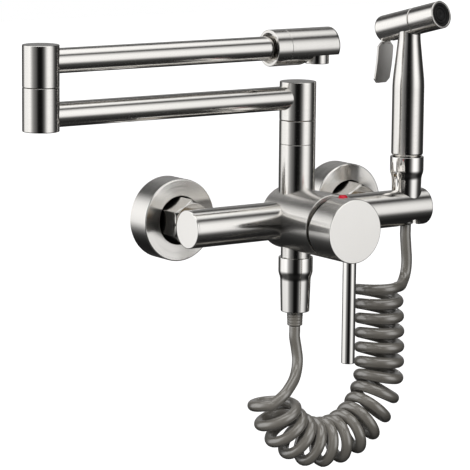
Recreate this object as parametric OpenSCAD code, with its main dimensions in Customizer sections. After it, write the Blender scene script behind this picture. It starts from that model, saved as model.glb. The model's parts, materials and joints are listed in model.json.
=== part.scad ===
// Wall-mounted mixer tap with a folding pot-filler arm and a hand sprayer on a curly hose.
// Frame: the wall is the plane y = 0, +y goes into the wall, +z is up, and the origin lies
// midway between the two wall inlets, level with the cross bar. Millimetres.

/* [Wall inlets] */
// Distance between the two wall inlets
inlet_pitch = 150; // [140:1:170]
// Outside diameter of the thread that screws into the wall
wall_thread_d = 20.95; // [18:0.05:22]
// Length of the thread behind the wall surface
wall_thread_len = 14; // [8:1:25]
// Water bore of the wall unions
union_bore_d = 14; // [10:0.5:16]
// Outside diameter of the union's front thread, under the nut
union_thread_d = 26.4; // [25:0.1:26.8]
// Distance from the wall to the front face of the union
union_reach = 25; // [23:0.5:27]

/* [Flanges] */
// Diameter of the wall flanges
flange_d = 59; // [50:1:70]
// Depth of the flanges from the wall
flange_depth = 19.5; // [16:0.5:22]
// Sheet thickness of the flanges
flange_wall = 1.5; // [1:0.1:2.5]
// Gap between the corners of the nut and the hole of the flange
flange_hole_gap = 0.6; // [0.3:0.1:1]

/* [Union nuts] */
// Width across the flats of the union nuts
nut_af = 29; // [28.5:0.1:31]
// Length of the union nuts
nut_len = 21; // [18:0.5:22]
// Length of the lip that holds the tail
nut_lip = 6; // [4:0.5:8]
// Thickness of the flat washer in the nut
union_washer_t = 2; // [1:0.1:2.5]
// Outside diameter of the inlet tails
tail_d = 20; // [17:0.5:20.5]
// Wall thickness of the inlet tails
tail_wall = 2.5; // [1.5:0.1:4]
// Width of the tail's collar beyond its own radius
tail_collar_w = 2.8; // [2:0.1:3]

/* [Cross bar and body] */
// Distance from the wall to the axis of the cross bar
bar_out = 56.5; // [54:0.5:60]
// Diameter of the cross bar
bar_d = 27; // [26:0.5:32]
// Wall thickness of the cross bar
bar_wall = 3; // [2:0.1:3.5]
// Reach of the bar's left end beyond the axis of the left inlet
bar_beyond_inlet = 19; // [15:1:35]
// Thickness of the head of the plug in the left end
end_plug_t = 1.5; // [1:0.1:3]
// Distance from the axis of the right inlet to the axis of the sprayer's cradle
cradle_beyond_inlet = 25; // [23:1:40]
// Metal beyond the cradle's bore at the right end
cradle_end = 4.2; // [3:0.1:8]
// Diameter of the mixer's round body
body_d = 45; // [44:0.5:50]
// Reach of the body behind the axis of the bar
body_back = 13; // [10:0.5:14]
// Reach of the body in front of the axis of the bar
body_front = 42.2; // [42:0.1:46]
// Diameter of the water way through the body
water_way_d = 12; // [8:0.5:13]

/* [Column and collar] */
// Diameter of the column
column_d = 26; // [25:0.5:30]
// Height of the column's top above the bar
column_h = 54; // [48:1:80]
// Height of the collar on the column
collar_h = 17; // [16:0.5:22]
// Height of the threaded neck inside the collar
neck_h = 10; // [8:0.5:11]
// Outside diameter of the swivel tube in the column
swivel_d = 17.9; // [15:0.1:18.5]
// Bore of the swivel tube
swivel_bore = 12; // [9:0.5:13]
// Depth of the swivel tube below the column's top
swivel_depth = 34; // [26:1:38]

/* [Folding arm] */
// Height of the arm socket on the column
socket_h = 27.2; // [26:0.2:34]
// Height of the lower arm's axis above the foot of the socket
socket_port = 15.7; // [13.5:0.1:16]
// Distance from the column's axis to the knuckle's axis
arm_span = 212; // [150:1:260]
// Diameter of the arm tubes
arm_tube_d = 17; // [16:0.1:18]
// Wall thickness of the arm tubes
arm_tube_wall = 1; // [0.8:0.1:2]
// Diameter of the knuckle
knuckle_d = 25; // [24:0.5:30]
// Reach of the lower knuckle below its tube's axis
knuckle_low = 10.5; // [10:0.1:14]
// Reach of the lower knuckle above its tube's axis
knuckle_seam = 19; // [18.5:0.1:22]
// Height of the upper tube's axis above the knuckle's seam
upper_port = 16.7; // [15:0.1:20]
// Reach of the upper knuckle above its tube's axis
knuckle_high = 11.5; // [10:0.1:14]
// Outside diameter of the knuckle's pivot tube
pivot_d = 15.9; // [14:0.1:16.2]

/* [Spout head] */
// Diameter of the spout head and its sleeve
spout_d = 26; // [25.5:0.5:30]
// Reach of the head's sleeve to the left of the column's axis
spout_left = 26; // [24:0.5:32]
// Reach of the head to the right of the column's axis
spout_right = 28; // [27.5:0.5:34]
// Distance from the column's axis to the seam between sleeve and head
spout_seam = 13.8; // [12:0.1:15]
// Distance from the column's axis to the axis of the aerator
aerator_x = 16.5; // [15:0.1:18]
// Outside diameter of the aerator's housing
aerator_d = 17.1; // [16:0.1:18.5]
// Height of the aerator's housing below its seat
aerator_h = 6.8; // [5:0.1:10]
// Width of the spot face that seats the aerator
spot_face_d = 25; // [20:0.5:27]
// Distance from the column's axis to the middle of the spot face's round end
spot_face_x = 11.2; // [9:0.1:13]
// Depth of the spot face below the axis of the head
spot_face_drop = 6; // [5.5:0.1:7]

/* [Handle] */
// Gap between the body and the foot of the handle cap
cap_gap = 2.6; // [2:0.1:4]
// Length of the handle cap
cap_len = 24.4; // [24:0.1:30]
// Slant of the upper half of the cap's back, which makes room for the tilt
cap_slant = 14; // [12:0.5:16]
// Diameter of the lever rod
lever_d = 9.5; // [7:0.1:9.8]
// Distance from the handle's axis to the end of the lever rod
lever_reach = 94; // [70:1:130]
// Distance from the cap's face back to the lever rod's axis
lever_back = 6; // [5.5:0.1:7]
// Diameter of the round mixing cartridge
cartridge_d = 35; // [33:0.5:36]
// Side of the cartridge's square stem
stem_side = 8; // [6:0.1:8.4]
// Distance from the body's front back to the pin that the stem tilts on
tilt_pin_back = 6; // [5:0.1:6.5]

/* [Hose ends] */
// Diameter of the outlet neck under the body
outlet_neck_d = 21.5; // [21.2:0.1:22.5]
// Diameter of the hose thread
hose_thread_d = 20.9; // [19:0.1:21]
// Depth of the outlet's shoulder below the bar's axis
outlet_drop = 27.5; // [26:0.5:36]
// Widest diameter of the hose nuts
hose_nut_d = 24.7; // [24.2:0.1:28]
// Length of the hose nuts
hose_nut_len = 39.6; // [34:0.2:44]
// Diameter at the top of the nut's cone
cone_d = 22; // [21:0.1:22.5]
// Diameter at the end of the nut's cone
cone_end_d = 20.6; // [18:0.1:20.8]
// Visible length of the hose's strain relief
relief_len = 10.4; // [8:0.2:20]
// Diameter of the strain relief
relief_d = 11.7; // [10:0.1:13]

/* [Sprayer] */
// Height of the sprayer nut's wide end above the bar's axis
spray_nut_z = 37.9; // [34:0.1:44]
// Turn of the sprayer in its cradle
spray_turn = 8; // [0:1:20]
// Diameter of the sprayer's handle
handle_d = 23.4; // [22:0.1:26]
// Height of the handle's straight part
handle_len = 54; // [45:0.5:70]
// Height of the taper between handle and head
taper_len = 32; // [26:0.5:40]
// Diameter of the handle where it meets the head
handle_neck_d = 16.4; // [14:0.1:18]
// Height of the head's axis above the taper
head_rise = 11.2; // [10:0.1:13]
// Diameter of the sprayer's head
head_d = 20; // [19:0.1:22]
// Tilt of the head above the horizontal
head_tilt = 17.8; // [10:0.2:22]
// Reach of the head behind the handle's axis
head_back = 27.3; // [27:0.1:30]
// Distance from the handle's axis to the seam of the nozzle sleeve
nozzle_seam = 7.3; // [7:0.1:10]
// Reach of the head in front of the handle's axis
head_front = 32.2; // [30:0.1:38]
// Width of the trigger's plate
trigger_w = 15.5; // [12:0.1:18]
// Height of the trigger's plate
trigger_h = 28.9; // [24:0.1:36]
// Sheet thickness of the trigger
trigger_t = 1.6; // [1:0.1:2]

/* [Curly hose] */
// Diameter of the hose
hose_d = 8; // [6:0.1:8.2]
// Radius of the hose's curls, to the middle of the hose
curl_r = 14.8; // [14.3:0.1:15.2]
// Number of curls
curls = 17; // [12:1:18]
// Pitch of the curls in the hanging leg
leg_pitch = 11.1; // [10.6:0.1:11.4]

/* [Clearances] */
// Radial clearance of parts that turn or slide in one another
run_gap = 0.05; // [0.02:0.01:0.09]
// Clearance between faces of parts that move past one another
face_gap = 0.3; // [0.3:0.05:0.5]
// Radial clearance of screwed and pushed-in parts
fit_gap = 0.05; // [0.02:0.01:0.1]

/* [Hidden] */
$fn = 48;

// Finishes as RGB
steel = [0.72, 0.71, 0.69];
chrome = [0.85, 0.85, 0.86];
brass = [0.80, 0.66, 0.34];
black = [0.06, 0.06, 0.06];
rubber = [0.12, 0.12, 0.12];
plastic = [0.90, 0.90, 0.88];
hose_grey = [0.44, 0.43, 0.41];
red = [0.72, 0.05, 0.10];

// Small edge breaks
edge = 0.5;
// Largest size used to cut through a piece
through = 200;

// Wall inlets
nut_overlap = 10;
nut_start = union_reach - nut_overlap;
nut_end = nut_start + nut_len;
nut_corner_d = nut_af / cos(30);
flange_hole_d = nut_corner_d + 2 * flange_hole_gap;
union_hex_af = 24;
union_hex_len = 6;
tail_collar_end = nut_end - nut_lip;
tail_collar_start = union_reach + union_washer_t;

// Cross bar, body and column
bar_left = inlet_pitch / 2 + bar_beyond_inlet;
cradle_x = inlet_pitch / 2 + cradle_beyond_inlet;
plug_spigot_len = 8;
plug_wall = 2.5;
bar_bore_d = bar_d - 2 * bar_wall;
body_front_y = -bar_out - body_front;
cavity_floor_y = -bar_out - 5.2;
cavity_d = cartridge_d + 2 * fit_gap;
shoulder_back = 9;
cart_nut_d = cartridge_d + 3;
cart_nut_bore = 26.2;
cart_collar_d = 25.6;
rotor_d = 18;
rotor_back = 14;
column_neck_d = column_d - 3.6;
collar_lip = 3.3;
collar_bore_d = column_neck_d + 2 * fit_gap;
collar_top = column_h + collar_h;
swivel_hole_d = swivel_d + 2 * run_gap;
swivel_shoulder_d = column_neck_d - 2 * face_gap;
glide_t = 0.6;
o_ring_t = 1.9;

// Cradle and hose ends
nut_shoulder = 11.1;
nut_taper = 4;
nut_thread_depth = 13;
hose_nut_bore = 14;
ferrule_d = 13.6;
ferrule_flange = 1.9;
hose_washer_t = 1.5;
hose_washer_bore = 12;
hose_thread_len = 9.5;
cone_slope = (cone_d - cone_end_d) / (hose_nut_len - nut_shoulder - nut_taper);
cone_top_z = spray_nut_z - nut_shoulder - nut_taper;
cradle_bore_d = cone_d - cone_slope * (cone_top_z - bar_d / 2) + 4 * run_gap;
bar_right = cradle_x + cradle_bore_d / 2 + cradle_end;
cradle_wall = 3.2;

// Arm heights
socket_z = collar_top + face_gap;
lower_arm_z = socket_z + socket_port;
knuckle_z = lower_arm_z + knuckle_seam;
upper_knuckle_z = knuckle_z + face_gap;
upper_arm_z = upper_knuckle_z + upper_port;
knuckle_x = -arm_span;
socket_wall = column_d / 2 - swivel_hole_d / 2;
tube_seat = 3.4;
arm_hole_d = arm_tube_d + 2 * fit_gap;
pivot_hole_d = pivot_d + 2 * run_gap;
pivot_bore = 11;
pivot_chamber_d = 18;
pivot_bearing = 9;
clip_t = 1;

// Spout head: the lip, the shoulder and the neck lie behind one another along the arm
lip_x = -22;
lip_len = 1.8;
shoulder_x = lip_x + lip_len + face_gap;
shoulder_len = 1.8;
spout_neck_x = shoulder_x + shoulder_len + face_gap;
spout_neck_d = spout_d - 2.5;
spigot_d = 15.9;
spigot_hole_d = spigot_d + 2 * run_gap;
spigot_end = -2.5;
spigot_seat = 10;
spigot_bore = 10;
spout_way_d = 9;
aerator_thread_d = aerator_d - 1.5;
aerator_seat_z = upper_arm_z - spot_face_drop;
aerator_thread_len = 3.6;
insert_d = 13.4;
insert_slots = [1.6, 3.4, 5.2];

// Handle
cap_back_y = body_front_y - cap_gap;
cap_face_y = cap_back_y - cap_len;
lever_y = cap_face_y + lever_back;
tilt_pin_y = body_front_y + tilt_pin_back;
tilt_pin_d = 4;
pocket_d = body_d - 8;
pocket_depth = 11.4;
boss_d = 20;
boss_depth = 5.4;
stem_depth = 15;
screw_depth = 9.7;
screw_d = 5;
plug_d = 6.4;
lever_root = 12;

// Sprayer, in its own upright frame: z as in the whole part, -y is the way it sprays
spray_seat = 0.5;
handle_z = spray_nut_z + spray_seat;
head_z = handle_z + handle_len + taper_len + head_rise;
slot_w = 8.6;
tongue_w = 8;
pin_back = 22.5;
pin_rise = 1.5;
pin_d = 3;
pin_len = 14;
knuckle_r = 3;
slot_back = 18.3;
stem_drop = 5;
stem_end = 23.5;
valve_d = 3;
valve_seat_d = 5;
valve_chamber_d = 7;
valve_head_d = 6.2;
valve_inlet_back = 2.5;
nozzle_grooves = [3.9, 5.8];
jet_rows = [2.6, 5.2];
jet_d = 0.9;
spring_turns = 3;
spring_d = 0.6;
spring_r = 2;
trigger_top = [23, -17.2];
trigger_lean = 4;

// Curly hose: a slightly bent hanging leg above a half loop, both in the plane of the bar.
// Angles are those of the axis's outward normal, counted from +x towards +z.
leg_top = [74.6, -55.3];
leg_lean = 6.1;
leg_bend_r = 515;
leg_len = 63.6;
loop_r = 49;
loop_sweep = 164.6;
turn_tilt = -12;
first_curl = 54;
curl_rings = 8;
hose_sides = 6;
// Route of the hose below the outlet, from the end of its strain relief
outlet_lead = [[0, 0, 0], [0, 0, -4.5], [0, 0, -9], [1.4, -0.3, -17], [1.9, -1.3, -25],
               [-0.6, -3.8, -32], [-5.5, -7.5, -37.8], [-12.5, -11.5, -42.4],
               [-19.4, -14.2, -46.6]];
// Route of the hose below the cradle, from the end of its strain relief
spray_lead = [[0, 0, 0], [0, 0, -4.5], [0, 0, -9], [0.8, 0, -17.5], [1.6, 0, -26],
              [1.4, 0, -33], [-0.4, -0.8, -38.6], [-4.6, -3.7, -42.4], [-10.2, -8.4, -44.2]];

// Helpers: round stock with broken edges, rings, and pieces laid along x or y

module stock(d, len, c0 = 0, c1 = 0) {
    rotate_extrude()
        polygon([[0, 0], [d / 2 - c0, 0], [d / 2, c0], [d / 2, len - c1], [d / 2 - c1, len], [0, len]]);
}

module ring(od, id, len, c0 = 0, c1 = 0) {
    rotate_extrude()
        polygon([[id / 2, 0], [od / 2 - c0, 0], [od / 2, c0], [od / 2, len - c1],
                 [od / 2 - c1, len], [id / 2, len]]);
}

module o_ring(inner_r) {
    rotate_extrude()
        translate([inner_r + o_ring_t / 2, 0])
            circle(d = o_ring_t, $fn = 24);
}

module along_x() {
    rotate([0, 90, 0]) children();
}

module along_y() {
    rotate([-90, 0, 0]) children();
}

module both_inlets() {
    for (side = [-1, 1])
        translate([side * inlet_pitch / 2, 0, 0]) children();
}

module on_bar_axis() {
    translate([0, -bar_out, 0]) children();
}

module at_knuckle() {
    translate([knuckle_x, -bar_out, 0]) children();
}

module at_cradle() {
    translate([cradle_x, -bar_out, 0])
        rotate([0, 0, spray_turn]) children();
}

module at_head() {
    at_cradle()
        translate([0, 0, head_z])
            rotate([-head_tilt, 0, 0]) children();
}

// Functions for a round tube swept along a list of points

function unit(v) = v / norm(v);

function tangents(p) = [for (i = [0 : len(p) - 1])
    unit(p[min(i + 1, len(p) - 1)] - p[max(i - 1, 0)])];

function side_step(n, t) = unit(n - (n * t) * t);

// Normals carried along the path, so that the rings don't twist
function carried(t, start) = [
    for (i = 0, n = side_step(start, t[0]);
         i < len(t);
         n = side_step(n, t[min(i + 1, len(t) - 1)]), i = i + 1) n];

function tube_rings(p, d, sides, start) =
    let (t = tangents(p), n = carried(t, start))
    [for (i = [0 : len(p) - 1], k = [0 : sides - 1])
        let (a = 360 * k / sides)
        p[i] + d / 2 * (cos(a) * n[i] + sin(a) * cross(t[i], n[i]))];

function tube_sides(rings, sides) = [
    for (i = [0 : rings - 2], k = [0 : sides - 1], half = [0, 1])
        let (a = i * sides + k, b = i * sides + (k + 1) % sides)
        half == 0 ? [a, a + sides, b] : [b, a + sides, b + sides]];

function tube_caps(rings, sides) = concat(
    [for (k = [1 : sides - 2]) [0, k, k + 1]],
    [for (k = [1 : sides - 2]) (rings - 1) * sides * [1, 1, 1] + [0, k + 1, k]]);

module swept_tube(p, d, sides, start) {
    polyhedron(points = tube_rings(p, d, sides, start),
               faces = concat(tube_sides(len(p), sides), tube_caps(len(p), sides)));
}

// Wall side

module wall_unions() {
    color(brass)
        both_inlets() difference() {
            union() {
                translate([0, -flange_wall, 0])
                    along_y() stock(wall_thread_d, wall_thread_len + flange_wall, 0, 1.2);
                translate([0, -union_hex_len - flange_wall, 0])
                    along_y() cylinder(d = union_hex_af / cos(30), h = union_hex_len, $fn = 6);
                translate([0, -union_reach, 0])
                    along_y() stock(union_thread_d, union_reach - union_hex_len - flange_wall, 0.8, 0);
            }
            translate([0, -through / 2, 0])
                along_y() cylinder(d = union_bore_d, h = through);
        }
}

module wall_flanges() {
    color(steel)
        both_inlets() difference() {
            translate([0, -flange_depth, 0])
                along_y() stock(flange_d, flange_depth, edge, 0);
            translate([0, flange_wall - flange_depth, 0])
                along_y() cylinder(d = flange_d - 2 * flange_wall, h = flange_depth);
            translate([0, -flange_depth - 1, 0])
                along_y() cylinder(d = flange_hole_d, h = flange_depth);
        }
}

module union_washers() {
    color(rubber)
        both_inlets()
            translate([0, -tail_collar_start, 0])
                along_y() ring(union_thread_d - 0.8, union_bore_d + 3, union_washer_t);
}

module union_nuts() {
    color(chrome)
        both_inlets() difference() {
            intersection() {
                translate([0, -nut_end, 0])
                    along_y() cylinder(d = nut_corner_d, h = nut_len, $fn = 6);
                translate([0, -nut_end, 0])
                    along_y() stock(nut_corner_d, nut_len, (nut_corner_d - nut_af) / 2, 0.8);
            }
            translate([0, -tail_collar_end, 0])
                along_y() cylinder(d = union_thread_d + 2 * fit_gap, h = through);
            translate([0, -nut_end - 1, 0])
                along_y() cylinder(d = tail_d + 2 * fit_gap, h = nut_len);
        }
}

module inlet_tails() {
    color(brass)
        both_inlets() {
            translate([0, -bar_out + bar_bore_d / 2 - 1, 0])
                along_y() ring(tail_d, tail_d - 2 * tail_wall,
                               bar_out - bar_bore_d / 2 + 1 - tail_collar_start);
            translate([0, -tail_collar_end + fit_gap, 0])
                along_y() ring(tail_d + 2 * tail_collar_w, tail_d - 2 * tail_wall,
                               tail_collar_end - fit_gap - tail_collar_start);
        }
}

// Mixer body: cross bar, round body, column and outlet neck are one welded piece

module body_outside() {
    on_bar_axis() {
        translate([end_plug_t - bar_left, 0, 0])
            along_x() stock(bar_d, bar_left - end_plug_t + bar_right, 0, 1.2);
        translate([0, -body_front, 0])
            along_y() stock(body_d, body_front + body_back, edge, edge);
        stock(column_d, column_h, 0, 0.3);
        stock(column_neck_d, column_h + neck_h, 0, 0.6);
        translate([0, 0, -outlet_drop])
            stock(outlet_neck_d, outlet_drop, 0.3, 0);
        translate([0, 0, -outlet_drop - hose_thread_len])
            stock(hose_thread_d, outlet_drop + hose_thread_len, 0.6, 0);
    }
}

module body_ways() {
    on_bar_axis() {
        translate([-bar_left, 0, 0])
            along_x() cylinder(d = bar_bore_d, h = bar_left - water_way_d / 2 - 2);
        translate([water_way_d / 2 + 2, 0, 0])
            along_x() cylinder(d = bar_bore_d,
                               h = cradle_x - cradle_bore_d / 2 - cradle_wall - water_way_d / 2 - 2);
        translate([0, 0, -outlet_drop - hose_thread_len - 1])
            cylinder(d = water_way_d, h = through);
        translate([0, 0, column_h - swivel_depth - 2])
            cylinder(d = swivel_hole_d, h = through);
        translate([cradle_x, 0, -bar_d])
            cylinder(d = cradle_bore_d, h = 2 * bar_d);
    }
    both_inlets()
        translate([0, -bar_out, 0])
            along_y() cylinder(d = tail_d + 2 * fit_gap, h = bar_out);
    translate([0, body_front_y - 1, 0])
        along_y() cylinder(d = cavity_d, h = cavity_floor_y - body_front_y + 1);
    translate([0, body_front_y - 1, 0])
        along_y() cylinder(d = cart_nut_d + 2 * fit_gap, h = shoulder_back + 1);
}

module mixer_body() {
    color(steel)
        difference() {
            body_outside();
            body_ways();
        }
}

module bar_end_plug() {
    color(steel)
        translate([-bar_left, -bar_out, 0]) {
            along_x() stock(bar_d, end_plug_t, edge, 0);
            along_x() ring(bar_bore_d - 2 * fit_gap, bar_bore_d - 2 * plug_wall, plug_spigot_len);
        }
}

module column_collar() {
    color(steel)
        on_bar_axis() difference() {
            translate([0, 0, column_h]) stock(column_d, collar_h, 0.3, 0.3);
            translate([0, 0, column_h - 1]) cylinder(d = collar_bore_d, h = collar_h - collar_lip + 1);
            cylinder(d = swivel_hole_d, h = through);
        }
}

module swivel_glide_ring() {
    color(plastic)
        on_bar_axis()
            translate([0, 0, column_h + neck_h])
                ring(column_neck_d - 1.4, swivel_hole_d, glide_t);
}

// Arm: a tube that turns in the column, then two tubes joined by the knuckle

swivel_foot = column_h - swivel_depth;
swivel_head = lower_arm_z - arm_hole_d / 2 - 0.5;
swivel_grooves = [swivel_foot + 8, swivel_foot + 20];

module swivel_tube() {
    color(brass)
        on_bar_axis() difference() {
            union() {
                translate([0, 0, swivel_foot]) stock(swivel_d, swivel_head - swivel_foot, 0.5, 0);
                translate([0, 0, column_h + neck_h + glide_t + face_gap])
                    cylinder(d = swivel_shoulder_d,
                             h = collar_h - collar_lip - neck_h - glide_t - 2 * face_gap);
            }
            cylinder(d = swivel_bore, h = through);
            for (z = swivel_grooves)
                translate([0, 0, z - o_ring_t / 2 - 0.1])
                    ring(swivel_d + 1, swivel_d - 2 * o_ring_t, o_ring_t + 0.2);
        }
}

module swivel_o_rings() {
    color(rubber)
        on_bar_axis()
            for (z = swivel_grooves)
                translate([0, 0, z]) o_ring(swivel_d / 2 - o_ring_t);
}

module arm_socket() {
    color(steel)
        on_bar_axis() difference() {
            translate([0, 0, socket_z]) stock(column_d, socket_h, 0.3, edge);
            translate([0, 0, socket_z - 1]) cylinder(d = swivel_d + 2 * fit_gap, h = socket_h - 2.5);
            translate([-column_d, 0, lower_arm_z]) along_x() cylinder(d = arm_hole_d, h = column_d);
        }
}

module arm_tube(x0, x1, z) {
    translate([x0, -bar_out, z])
        along_x() ring(arm_tube_d, arm_tube_d - 2 * arm_tube_wall, x1 - x0);
}

module lower_arm_tube() {
    color(steel)
        arm_tube(knuckle_x + knuckle_d / 2 - tube_seat, -column_d / 2 + tube_seat, lower_arm_z);
}

module lower_knuckle() {
    color(steel)
        at_knuckle() difference() {
            translate([0, 0, lower_arm_z - knuckle_low])
                stock(knuckle_d, knuckle_low + knuckle_seam, edge, 0.3);
            translate([0, 0, lower_arm_z]) along_x() cylinder(d = arm_hole_d, h = knuckle_d);
            translate([0, 0, lower_arm_z - knuckle_low - 1])
                cylinder(d = pivot_chamber_d, h = knuckle_low + knuckle_seam - pivot_bearing + 1);
            cylinder(d = pivot_hole_d, h = through);
            translate([0, 0, knuckle_z - 1]) cylinder(d = pivot_d + 5.2, h = 2);
        }
}

module knuckle_plug() {
    color(steel)
        at_knuckle()
            translate([0, 0, lower_arm_z - knuckle_low]) difference() {
                stock(pivot_chamber_d - 2 * fit_gap, 2, 0.3, 0);
                translate([0, 0, -1]) cylinder(d = 6, h = 2.2, $fn = 6);
            }
}

module knuckle_glide_ring() {
    color(plastic)
        at_knuckle()
            translate([0, 0, knuckle_z - 1]) ring(pivot_d + 5, pivot_hole_d, 1);
}

pivot_foot = knuckle_z - pivot_bearing - clip_t - 1.5;
pivot_head = upper_arm_z - arm_hole_d / 2 - 0.5;
clip_z = knuckle_z - pivot_bearing - face_gap - clip_t;
pivot_grooves = [knuckle_z - 6.6, knuckle_z - 3.4];

module knuckle_pivot() {
    color(brass)
        at_knuckle() difference() {
            translate([0, 0, pivot_foot]) stock(pivot_d, pivot_head - pivot_foot, 0.3, 0);
            cylinder(d = pivot_bore, h = through);
            translate([0, 0, clip_z - fit_gap])
                ring(pivot_d + 1, pivot_d - 1.6, clip_t + 2 * fit_gap);
            for (z = pivot_grooves)
                translate([0, 0, z - o_ring_t / 2 - 0.1])
                    ring(pivot_d + 1, pivot_d - 2 * o_ring_t, o_ring_t + 0.2);
        }
}

module knuckle_o_rings() {
    color(rubber)
        at_knuckle()
            for (z = pivot_grooves)
                translate([0, 0, z]) o_ring(pivot_d / 2 - o_ring_t);
}

module knuckle_clip() {
    color(chrome)
        at_knuckle() difference() {
            translate([0, 0, clip_z]) ring(pivot_chamber_d - 2 * face_gap, pivot_d - 1.5, clip_t);
            translate([-1.5, 0, clip_z - 1]) cube([3, through, clip_t + 2]);
        }
}

module upper_knuckle() {
    color(steel)
        at_knuckle() difference() {
            translate([0, 0, upper_knuckle_z]) stock(knuckle_d, upper_port + knuckle_high, 0.3, edge);
            translate([0, 0, upper_knuckle_z - 1])
                cylinder(d = pivot_d + 2 * fit_gap, h = upper_port + knuckle_high - 2);
            translate([0, 0, upper_arm_z]) along_x() cylinder(d = arm_hole_d, h = knuckle_d);
        }
}

module upper_arm_tube() {
    color(steel)
        arm_tube(knuckle_x + knuckle_d / 2 - tube_seat, shoulder_x, upper_arm_z);
}

// Spout head: it turns about the arm's axis on a spigot in the end of the tube

spigot_grooves = [spout_neck_x + 3.2, spout_neck_x + 9];

module on_spout_axis() {
    translate([0, -bar_out, upper_arm_z]) children();
}

module spout_spigot() {
    color(brass)
        on_spout_axis() difference() {
            union() {
                translate([shoulder_x - spigot_seat, 0, 0])
                    along_x() cylinder(d = arm_tube_d - 2 * arm_tube_wall - 2 * fit_gap, h = spigot_seat);
                translate([shoulder_x, 0, 0])
                    along_x() cylinder(d = spout_neck_d - 2, h = shoulder_len);
                translate([shoulder_x, 0, 0])
                    along_x() stock(spigot_d, spigot_end - shoulder_x, 0, 0.5);
            }
            translate([-through / 2, 0, 0]) along_x() cylinder(d = spigot_bore, h = through);
            for (x = spigot_grooves)
                translate([x - o_ring_t / 2 - 0.1, 0, 0])
                    along_x() ring(spigot_d + 1, spigot_d - 2 * o_ring_t, o_ring_t + 0.2);
        }
}

module spout_o_rings() {
    color(rubber)
        on_spout_axis()
            for (x = spigot_grooves)
                translate([x, 0, 0]) along_x() o_ring(spigot_d / 2 - o_ring_t);
}

module spout_sleeve() {
    color(steel)
        on_spout_axis() difference() {
            translate([-spout_left, 0, 0])
                along_x() stock(spout_d, spout_left - spout_seam, edge, 0.2);
            translate([-through, 0, 0])
                along_x() cylinder(d = arm_tube_d + 4.2, h = through + lip_x);
            translate([-through, 0, 0])
                along_x() cylinder(d = arm_tube_d + 2 * run_gap, h = through);
            translate([lip_x + lip_len, 0, 0])
                along_x() cylinder(d = spout_neck_d + 2 * fit_gap, h = through);
        }
}

module spout_head() {
    color(steel)
        on_spout_axis() difference() {
            union() {
                translate([-spout_seam, 0, 0])
                    along_x() rounded_stock(spout_d, spout_right + spout_seam, 1.8);
                translate([spout_neck_x, 0, 0])
                    along_x() cylinder(d = spout_neck_d, h = -spout_seam - spout_neck_x);
            }
            translate([spout_neck_x - 1, 0, 0])
                along_x() cylinder(d = spigot_hole_d, h = spigot_end + face_gap - spout_neck_x + 1);
            along_x() translate([0, 0, spigot_end])
                cylinder(d = spout_way_d, h = aerator_x + spout_way_d / 2 - spigot_end);
            translate([spot_face_x, 0, -spot_face_drop - through]) {
                cylinder(d = spot_face_d, h = through);
                translate([0, -spot_face_d / 2, 0]) cube([through, spot_face_d, through]);
            }
            translate([aerator_x, 0, -spot_face_drop - 1])
                cylinder(d = aerator_thread_d + 2 * fit_gap, h = aerator_thread_len + 1.4);
        }
}

// Round stock with one rounded end, away from its foot
module rounded_stock(d, len, r) {
    rotate_extrude()
        union() {
            square([d / 2, len - r]);
            square([d / 2 - r, len]);
            translate([d / 2 - r, len - r])
                intersection() {
                    circle(r = r, $fn = 32);
                    square(r);
                }
        }
}

module aerator_housing() {
    color(steel)
        translate([aerator_x, -bar_out, aerator_seat_z]) difference() {
            union() {
                translate([0, 0, -aerator_h]) stock(aerator_d, aerator_h, 0.6, 0.3);
                cylinder(d = aerator_thread_d, h = aerator_thread_len);
            }
            translate([0, 0, -through / 2]) cylinder(d = insert_d + 2 * fit_gap, h = through);
        }
}

module aerator_insert() {
    color(plastic)
        translate([aerator_x, -bar_out, aerator_seat_z - aerator_h + 1.2]) difference() {
            cylinder(d = insert_d, h = aerator_h + 1);
            for (r = insert_slots)
                translate([0, 0, -1]) ring(2 * r + 0.9, 2 * r - 0.9, 3);
        }
}

// Handle: the cartridge's rotor turns about y, and the stem tilts on a pin in the rotor

module cartridge() {
    color(plastic)
        difference() {
            union() {
                translate([0, body_front_y + shoulder_back, 0])
                    along_y() cylinder(d = cartridge_d, h = cavity_floor_y - body_front_y - shoulder_back);
                translate([0, body_front_y + 2, 0])
                    along_y() cylinder(d = cart_collar_d, h = shoulder_back);
            }
            translate([0, body_front_y - 1, 0])
                along_y() cylinder(d = rotor_d + 2 * run_gap, h = rotor_back + 1 + face_gap);
            for (a = [0, 120, 240])
                rotate([0, a, 0])
                    translate([0, cavity_floor_y - 3, 9]) along_y() cylinder(d = 6, h = 4);
        }
}

module cartridge_nut() {
    color(brass)
        translate([0, body_front_y + 1.5, 0])
            along_y() ring(cart_nut_d, cart_nut_bore, shoulder_back - 1.5, 0.5, 0);
}

module cartridge_rotor() {
    color(black)
        difference() {
            translate([0, body_front_y + 1.5, 0])
                along_y() cylinder(d = rotor_d, h = rotor_back - 1.5);
            translate([-stem_side / 2 - 0.2, body_front_y, -rotor_d])
                cube([stem_side + 0.4, rotor_back - 1.6, 2 * rotor_d]);
            translate([-rotor_d, tilt_pin_y, 0])
                along_x() cylinder(d = tilt_pin_d + fit_gap, h = 2 * rotor_d);
        }
}

module tilt_pin() {
    color(chrome)
        translate([-rotor_d / 2 + 0.8, tilt_pin_y, 0])
            along_x() cylinder(d = tilt_pin_d, h = rotor_d - 1.6);
}

module cartridge_stem() {
    color(brass)
        difference() {
            translate([-stem_side / 2, cap_back_y - stem_depth, -stem_side / 2])
                cube([stem_side, tilt_pin_y + 4.2 - cap_back_y + stem_depth, stem_side]);
            translate([-stem_side, tilt_pin_y, 0])
                along_x() cylinder(d = tilt_pin_d + 2 * run_gap, h = 2 * stem_side);
        }
}

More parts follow.
